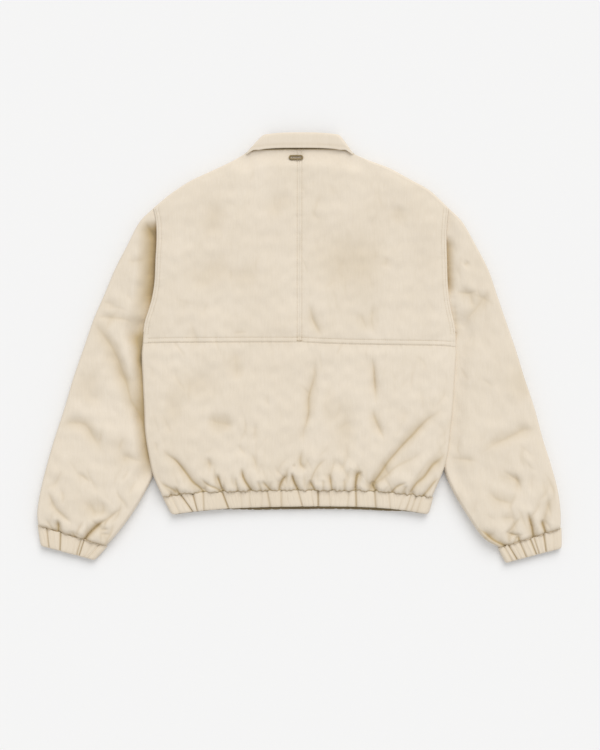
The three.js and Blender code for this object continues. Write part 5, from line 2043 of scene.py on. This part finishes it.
@dataclass
class HemBand:
    """Elasticated band at the hem, with its open front layer a little lower."""

    shape: BodyShape
    wardrobe: Wardrobe
    top_left: float = -234.0
    top_right: float = 228.0
    bottom_left: float = -218.0
    bottom_right: float = 220.0
    step: float = 0.85
    layers: Layers = field(default_factory=lambda: Layers(11.6, 3.0, 5.8, 3.4))

    def share_of(self, x: Field, low: bool) -> Field:
        """Share along the band of an X on its seam, or on its hem."""
        left, right = (
            (self.bottom_left, self.bottom_right) if low else (self.top_left, self.top_right)
        )
        inset = (self.layers.back - self.layers.front) / 2 / (self.top_right - self.top_left)
        return ((x - left) / (right - left) - inset) / (1 - 2 * inset)

    def build(self) -> bpy.types.Object:
        """Returns:
            The new piece.
        """
        shape, layers = self.shape, self.layers
        radius = (layers.back - layers.front) / 2
        inset = radius / (self.top_right - self.top_left)
        tops = self.share_of(HEM_GATHERS.column("top"), False)
        bottoms = self.share_of(HEM_GATHERS.column("bottom"), True)
        back = Gathers(tops, HEM_GATHERS.column("depth"), 0.028)
        rng = np.random.default_rng(SEED + 5)
        places = np.cumsum(np.concatenate(([0.035], rng.uniform(0.022, 0.05, 25))))
        places = places[(places < 0.96) & (np.abs(places - self.share_of(0.0, False)) > 0.05)]
        front = Gathers(places, rng.uniform(0.5, 1, len(places)), 0.02)
        closure = PLACKET_WIDTH / 2 + SEAM_GAP
        reach = 2.4 / (self.top_right - self.top_left)
        shares, angles, furrows, lows = [], [], [], []

        def add(share: Field, angle: Field, valley: Field, low: Optional[Field] = None) -> None:
            """Adds stations along the band."""
            shares.append(share)
            angles.append(angle + 0 * share)
            furrows.append(valley)
            lows.append(share if low is None else low)

        count = int(462 / self.step)
        left = np.linspace(0, 1, count // 3)[1:]
        turn = np.linspace(0, 1, 14)[1:-1]
        start = float(self.share_of(-closure, False))
        end = float(self.share_of(closure, False))
        start_low = float(self.share_of(-closure, True))
        end_low = float(self.share_of(closure, True))
        s = mix(start, 0.0, left)
        add(np.array([start]), 270.0, np.array([0.0]), np.array([start_low]))
        add(s, 270.0, front.furrow(s, reach), mix(start_low, 0.0, left))
        add(0 * turn, mix(270.0, 90.0, turn), 0 * turn)
        s = np.linspace(0, 1, count)
        low = np.interp(s, [0, *tops, 1], [0, *bottoms, 1])
        add(s, 90.0, back.furrow(s, reach), low)
        add(0 * turn + 1, mix(90.0, -90.0, turn), 0 * turn)
        s = mix(1.0, end, np.linspace(0, 1, count // 3)[:-1])
        add(s, -90.0, front.furrow(s, reach), mix(1.0, end_low, np.linspace(0, 1, count // 3)[:-1]))
        add(np.array([end]), -90.0, np.array([0.0]), np.array([end_low]))
        share, angle = np.concatenate(shares), np.concatenate(angles)
        valley, low = np.concatenate(furrows), np.concatenate(lows)
        x_top = mix(self.top_left, self.top_right, mix(inset, 1 - inset, share))
        x_low = mix(self.bottom_left, self.bottom_right, mix(inset, 1 - inset, low))
        under = smooth((np.abs(angle - 90) - 90) / 90)
        seam = mix(shape.hem_seam(x_top), shape.band_top(x_top), smooth(np.abs(angle - 90) / 60))
        top = np.stack([x_top, seam - SEAM_GAP], axis=1)
        drop = shape.front_hem_drop * (0.15 + 0.85 * smooth((x_low + 150) / 90)
                                       * smooth((200 - x_low) / 60))
        bottom = np.stack([x_low, shape.band_bottom(x_low) - drop * under], axis=1)
        band = Band(layers, 60)
        rings, folds = band.rings(top, bottom, angle, valley, share * 462, np.array([1.0, 0.0]))
        piece = sweep("gathered_hem", rings, folds, False)
        self.wardrobe.dress(piece, self.wardrobe.band, Slot.BAND, "hem_band")
        return piece


@dataclass
class Cuff:
    """Elasticated cuff at the end of a sleeve."""

    side: Side
    sleeve: Sleeve
    wardrobe: Wardrobe
    step: float = 0.7
    layers: Layers = field(default_factory=lambda: Layers(10.0, 2.8, 5.4, 3.0))

    def build(self) -> bpy.types.Object:
        """Returns:
            The new piece.
        """
        layers = self.layers
        radius = (layers.back - layers.front) / 2
        outer, inner = self.sleeve.cuff_line.points
        end_outer, end_inner = (np.array(spot) for spot in CUFF_OPENINGS[self.side.value])
        down = end_outer - outer
        seam_gap = down * 2 * SEAM_GAP / np.hypot(*down)
        width = float(np.hypot(*(inner - outer)))
        across = (inner - outer) / width
        table = CUFF_GATHERS[self.side.value]
        back = Gathers(table.column("share"), table.column("depth"), 0.05)
        seed = 70 if self.side is Side.LEFT else 80
        rng = np.random.default_rng(SEED + seed)
        front = Gathers(np.linspace(0.07, 0.93, 10) + rng.uniform(-0.02, 0.02, 10),
                        rng.uniform(0.4, 1, 10), 0.05)
        count = int(width / self.step)
        s = np.linspace(0, 1, count)
        turn = np.linspace(0, 1, 12)[1:-1]
        lower = np.linspace(1, 0, count // 2)
        share = np.concatenate([s, 0 * turn + 1, lower, 0 * turn])
        angle = np.concatenate([
            0 * s + 90, mix(90.0, -90.0, turn), 0 * lower - 90, mix(270.0, 90.0, turn),
        ])
        valley = np.concatenate([
            back.furrow(s, 2.6 / width), 0 * turn, front.furrow(lower, 2.4 / width), 0 * turn,
        ])
        low_share = np.interp(
            share, [0, *table.column("share"), 1], [0, *table.column("low"), 1]
        )
        inset = radius / width
        place = mix(inset, 1 - inset, share)[:, None]
        low_place = mix(inset, 1 - inset, low_share)[:, None]
        over = np.stack(self.sleeve.scallop(place[:, 0]), axis=1)
        top = mix(outer, inner, place) + seam_gap + over
        bottom = mix(end_outer, end_inner, low_place)
        rings, folds = Band(layers, seed + 3).rings(
            top, bottom, angle, valley, share * width, across
        )
        name = self.side.value
        piece = sweep(f"gathered_cuff_{name}", rings, folds, True)
        self.wardrobe.dress(piece, self.wardrobe.band, Slot.BAND, f"cuff_{name}")
        return piece


@dataclass
class Collar:
    """Folded shirt collar: a stand from the neck seam to the fold, and a fall outside it."""

    shape: BodyShape
    wardrobe: Wardrobe
    stitching: Stitching
    fold_half: float = 68.0
    lean: float = 3.0
    neck_half: float = 94.0
    fold: float = 371.0
    fold_dip: float = 3.0
    neck: float = 347.6
    front_fold: float = 300.0
    front_neck: float = 268.6
    side_fold: float = 366.0
    side_neck: float = 330.0
    back: float = 16.5
    front: float = 5.0
    fall_drop: float = 3.2
    row: float = 5.5

    def outline(self, fall_end: float) -> Field:
        """Section of the collar.

        Args:
            fall_end: share of the height at which the fall ends.

        Returns:
            Shares from the seam to the fold, with offsets outwards.
        """
        corners = [
            (0.0, -4.0), (0.4, -4.05), (0.8, -4.0), (0.93, -3.3), (1.0, -1.2), (1.003, 1.2),
            (0.95, 3.1), (0.8, 4.3), (0.4, 4.9), (fall_end + 0.2, 4.85), (fall_end + 0.03, 4.8),
            (fall_end - 0.015, 4.2), (fall_end - 0.02, 3.0), (fall_end + 0.03, 1.9),
            (0.25, 1.0), (0.5, 0.85), (0.74, 0.6), (0.6, 0.45), (0.3, 0.35), (0.0, 0.2),
        ]
        return rounded_outline(corners, 3, False)

    def heights(self, share: float, turn: float, seam_x: float) -> Tuple[float, float]:
        """Y of the neck seam and of the fold at one station.

        Args:
            share: place across, from -1 to 1.
            turn: way that the outer side faces, in radians.
            seam_x: X of the neck seam there.

        Returns:
            The two heights.
        """
        out = abs(share)
        lift = 2.4 + 10 * float(smooth((abs(seam_x) - 68) / 14))
        back_neck = float(self.shape.shoulder(seam_x)) + 0.3 * lift - 3.0 * out**10
        back_fold = self.fold - self.fold_dip * out**3
        front_neck = mix(self.front_neck, self.side_neck, out**1.7)
        front_fold = mix(self.front_fold, self.side_fold, out**1.7)
        up = (1 + math.sin(turn)) / 2
        return mix(front_neck, back_neck, up), mix(front_fold, back_fold, up)

    def point(self, share: float, angle: float, height: float, offset: float) -> List[float]:
        """One point of the collar.

        Args:
            share: place across, from -1 to 1.
            angle: way that the outer side faces, 90 degrees for up.
            height: share from the seam to the fold.
            offset: distance outwards.

        Returns:
            X, Y and Z.
        """
        turn = math.radians(angle)
        radius = (self.back - self.front) / 2
        reach = radius + offset

        def x_at(place: float) -> float:
            """X at a share of the height."""
            up = min(1.0, max(0.0, place))
            half = mix(self.neck_half, self.fold_half, up)
            return self.lean * up + share * (half - radius - 4.8) + math.cos(turn) * reach

        neck, fold = self.heights(share, turn, x_at(0.0))
        centre_z = (self.back + self.front) / 2
        return [x_at(height), mix(neck, fold, height), centre_z + math.sin(turn) * reach]

    def fall_end(self, angle: float) -> float:
        """Share of the height at which the fall ends, lower at the back."""
        low = -self.fall_drop / (self.fold - self.neck)
        return float(mix(0.06, low, smooth(math.sin(math.radians(angle)))))

    def frames(self) -> List[Spot]:
        """Stations round the neck: place across and angle."""
        front = [(share, 270.0) for share in np.linspace(-0.008, -1, 26)[:-1]]
        left = [(-1.0, angle) for angle in np.linspace(270, 90, 22)]
        back = [(share, 90.0) for share in np.linspace(-1, 1, 84)[1:-1]]
        right = [(1.0, angle) for angle in np.linspace(90, -90, 22)]
        other = [(share, -90.0) for share in np.linspace(1, 0.008, 26)[1:]]
        return [*front, *left, *back, *right, *other]

    def build(self) -> bpy.types.Object:
        """Returns:
            The new piece.
        """
        frames = self.frames()
        rings, painted_shade_marks = [], []
        tug = Ripple(90, 7, 22, 14, (0.0, 0.0))
        waver = Ripple(91, 30, 90, 10, (0.0, 0.0))
        for share, angle in frames:
            outline = self.outline(self.fall_end(angle)).copy()
            along = np.array([share * 80 + 0.4 * angle])
            pucker = float(tug(along, 0 * along)[0])
            shift = float(waver(along, 0 * along)[0])
            outside = outline[:, 1] > 2.6
            stitch = bell((outline[:, 0] - self.fall_end(angle)) * 23 - self.row, 2.0)
            near = bell((outline[:, 0] - self.fall_end(angle)) * 23 - self.row, 7.0)
            outline[:, 1] -= outside * (0.12 * stitch + 0.05 * pucker * near)
            outline[:, 1] += outside * 0.12 * shift * smooth((1 - outline[:, 0]) / 0.2)
            rings.append([self.point(share, angle, h, offset) for h, offset in outline])
            # Painted shade in the groove along the collar's stitch row.
            painted_shade_marks.append(0.15 * stitch * outside)
        piece = sweep("folded_collar", np.array(rings), np.array(painted_shade_marks), False)
        self.wardrobe.dress(piece, self.wardrobe.cotton, Slot.COTTON, "collar")
        end = self.fall_end(90.0)
        height = end + self.row / 23
        row = [self.point(share, 90.0, height, 4.45) for share in np.linspace(-1, 1, 160)]
        sewn = self.stitching.rows("collar_stitches", [tuple(np.array(row).T)])
        self.wardrobe.dress(sewn, self.wardrobe.thread, Slot.COTTON)
        return piece


@dataclass
class HangerLoop:
    """Flattened loop of tape that lies on the yoke just under the collar."""

    shape: BodyShape
    wardrobe: Wardrobe
    x: float = -6.0
    y: float = 327.6
    length: float = 25.0
    width: float = 8.8
    cord: float = 2.9
    step: float = 1.6

    def build(self) -> bpy.types.Object:
        """Builds and dresses the loop.

        Returns:
            The new piece.
        """
        half = self.cord / 2
        bend = self.width / 2 - half
        straight = self.length / 2 - half - bend
        rings = []
        for side, start, stop in ((1, -90, 90), (-1, 90, 270)):
            for angle in np.radians(np.linspace(start, stop, 14)):
                rings.append(self.ring(side * straight, angle, bend, half))
            for share in np.linspace(0, 1, 12)[1:-1]:
                rings.append(self.ring(
                    side * straight * (1 - 2 * share), math.radians(stop), bend, half
                ))
        piece = sweep("tape_loop", np.array(rings), None, True)
        self.wardrobe.dress(piece, self.wardrobe.tape, Slot.TAPE, "hanger_loop")
        return piece

    def ring(self, x: float, angle: float, bend: float, half: float) -> List[List[float]]:
        """Section of the tape at one station.

        Args:
            x: X of the bend's centre.
            angle: direction out of the loop.
            bend: radius of the bend at the tape's middle.
            half: half of the tape's thickness.

        Returns:
            The section's points.
        """
        middle_y = self.y + math.sin(angle) * bend
        ground = float(self.shape.back_top(np.array([self.x]), np.array([middle_y]))[0])
        points = []
        for t in np.linspace(0, 2 * math.pi, 15)[:-1]:
            reach = bend + math.cos(t) * half
            points.append([
                self.x + x + math.cos(angle) * reach, self.y + math.sin(angle) * reach,
                ground + SEAM_GAP + self.step + half + math.sin(t) * half * 0.9,
            ])
        return points


@dataclass
class Studio:
    """Pale floor, soft light and the camera straight above."""

    centre: Spot = (0.0009, -0.0464)
    view_height: float = 1.290
    distance: float = 3.0
    plane: float = 0.018

    def floor(self) -> None:
        """Lays the floor just below the jacket."""
        mesh = bpy.data.meshes.new("studio_floor")
        corners = [(-4.0, -4.0, -0.0006), (4.0, -4.0, -0.0006), (4.0, 4.0, -0.0006),
                   (-4.0, 4.0, -0.0006)]
        mesh.from_pydata(corners, [], [(0, 1, 2, 3)])
        floor = bpy.data.objects.new("studio_floor", mesh)
        bpy.context.scene.collection.objects.link(floor)
        floor.data.materials.append(FloorFinish().material())

    def sun(self, name: str, direction: Tuple[float, float, float], strength: float,
            spread: float, colour: Tuple[float, float, float]) -> None:
        """Adds a broad soft light.

        Args:
            name: the light's name.
            direction: where it stands, from the jacket.
            strength: its strength.
            spread: its angle in degrees.
            colour: its colour.
        """
        light = bpy.data.lights.new(name, "SUN")
        light.energy = strength
        light.angle = math.radians(spread)
        light.color = colour
        obj = bpy.data.objects.new(name, light)
        bpy.context.scene.collection.objects.link(obj)
        from mathutils import Vector
        obj.rotation_euler = Vector(direction).to_track_quat("Z", "Y").to_euler()

    def camera(self) -> None:
        """Sets the camera straight above."""
        data = bpy.data.cameras.new("camera")
        data.sensor_fit = "VERTICAL"
        data.sensor_height = 24.0
        data.lens = 24.0 * (self.distance - self.plane) / self.view_height
        data.clip_end = 50.0
        camera = bpy.data.objects.new("camera", data)
        camera.location = (self.centre[0], self.centre[1], self.distance)
        bpy.context.scene.collection.objects.link(camera)
        bpy.context.scene.camera = camera

    def build(self) -> None:
        """Builds the whole studio."""
        scene = bpy.context.scene
        self.floor()
        self.camera()
        self.sun("key", (0.25, 0.95, 0.95), 1.46, 42.0, (1.0, 0.995, 0.985))
        world = bpy.data.worlds.new("studio")
        world.use_nodes = True
        world.node_tree.nodes["Background"].inputs["Color"].default_value = (1.0, 1.0, 1.0, 1.0)
        world.node_tree.nodes["Background"].inputs["Strength"].default_value = 0.735
        scene.world = world
        scene.view_settings.view_transform = "Standard"
        scene.view_settings.look = "None"


def main() -> None:
    """Builds the jacket piece by piece and lays it in the studio."""
    logging.basicConfig(level=logging.INFO, format="%(name)s: %(message)s")
    shape = BodyShape()
    wardrobe = Wardrobe()
    stitching = Stitching()
    studio = Studio()
    studio.build()
    made: List[bpy.types.Object] = []
    loop = HangerLoop(shape, wardrobe)
    made.extend(Back(shape, wardrobe, stitching).build())
    made.append(loop.build())
    made.extend(Front(shape, wardrobe, stitching).build())
    for side in Side:
        sleeve = Sleeve(side, shape, wardrobe, stitching)
        made.append(sleeve.build())
        made.append(Cuff(side, sleeve, wardrobe).build())
    made.append(HemBand(shape, wardrobe).build())
    made.append(Collar(shape, wardrobe, stitching).build())
    for piece in made:
        LOG.info("%s: %d faces", piece.name, len(piece.data.polygons))


if __name__ == "__main__":
    main()
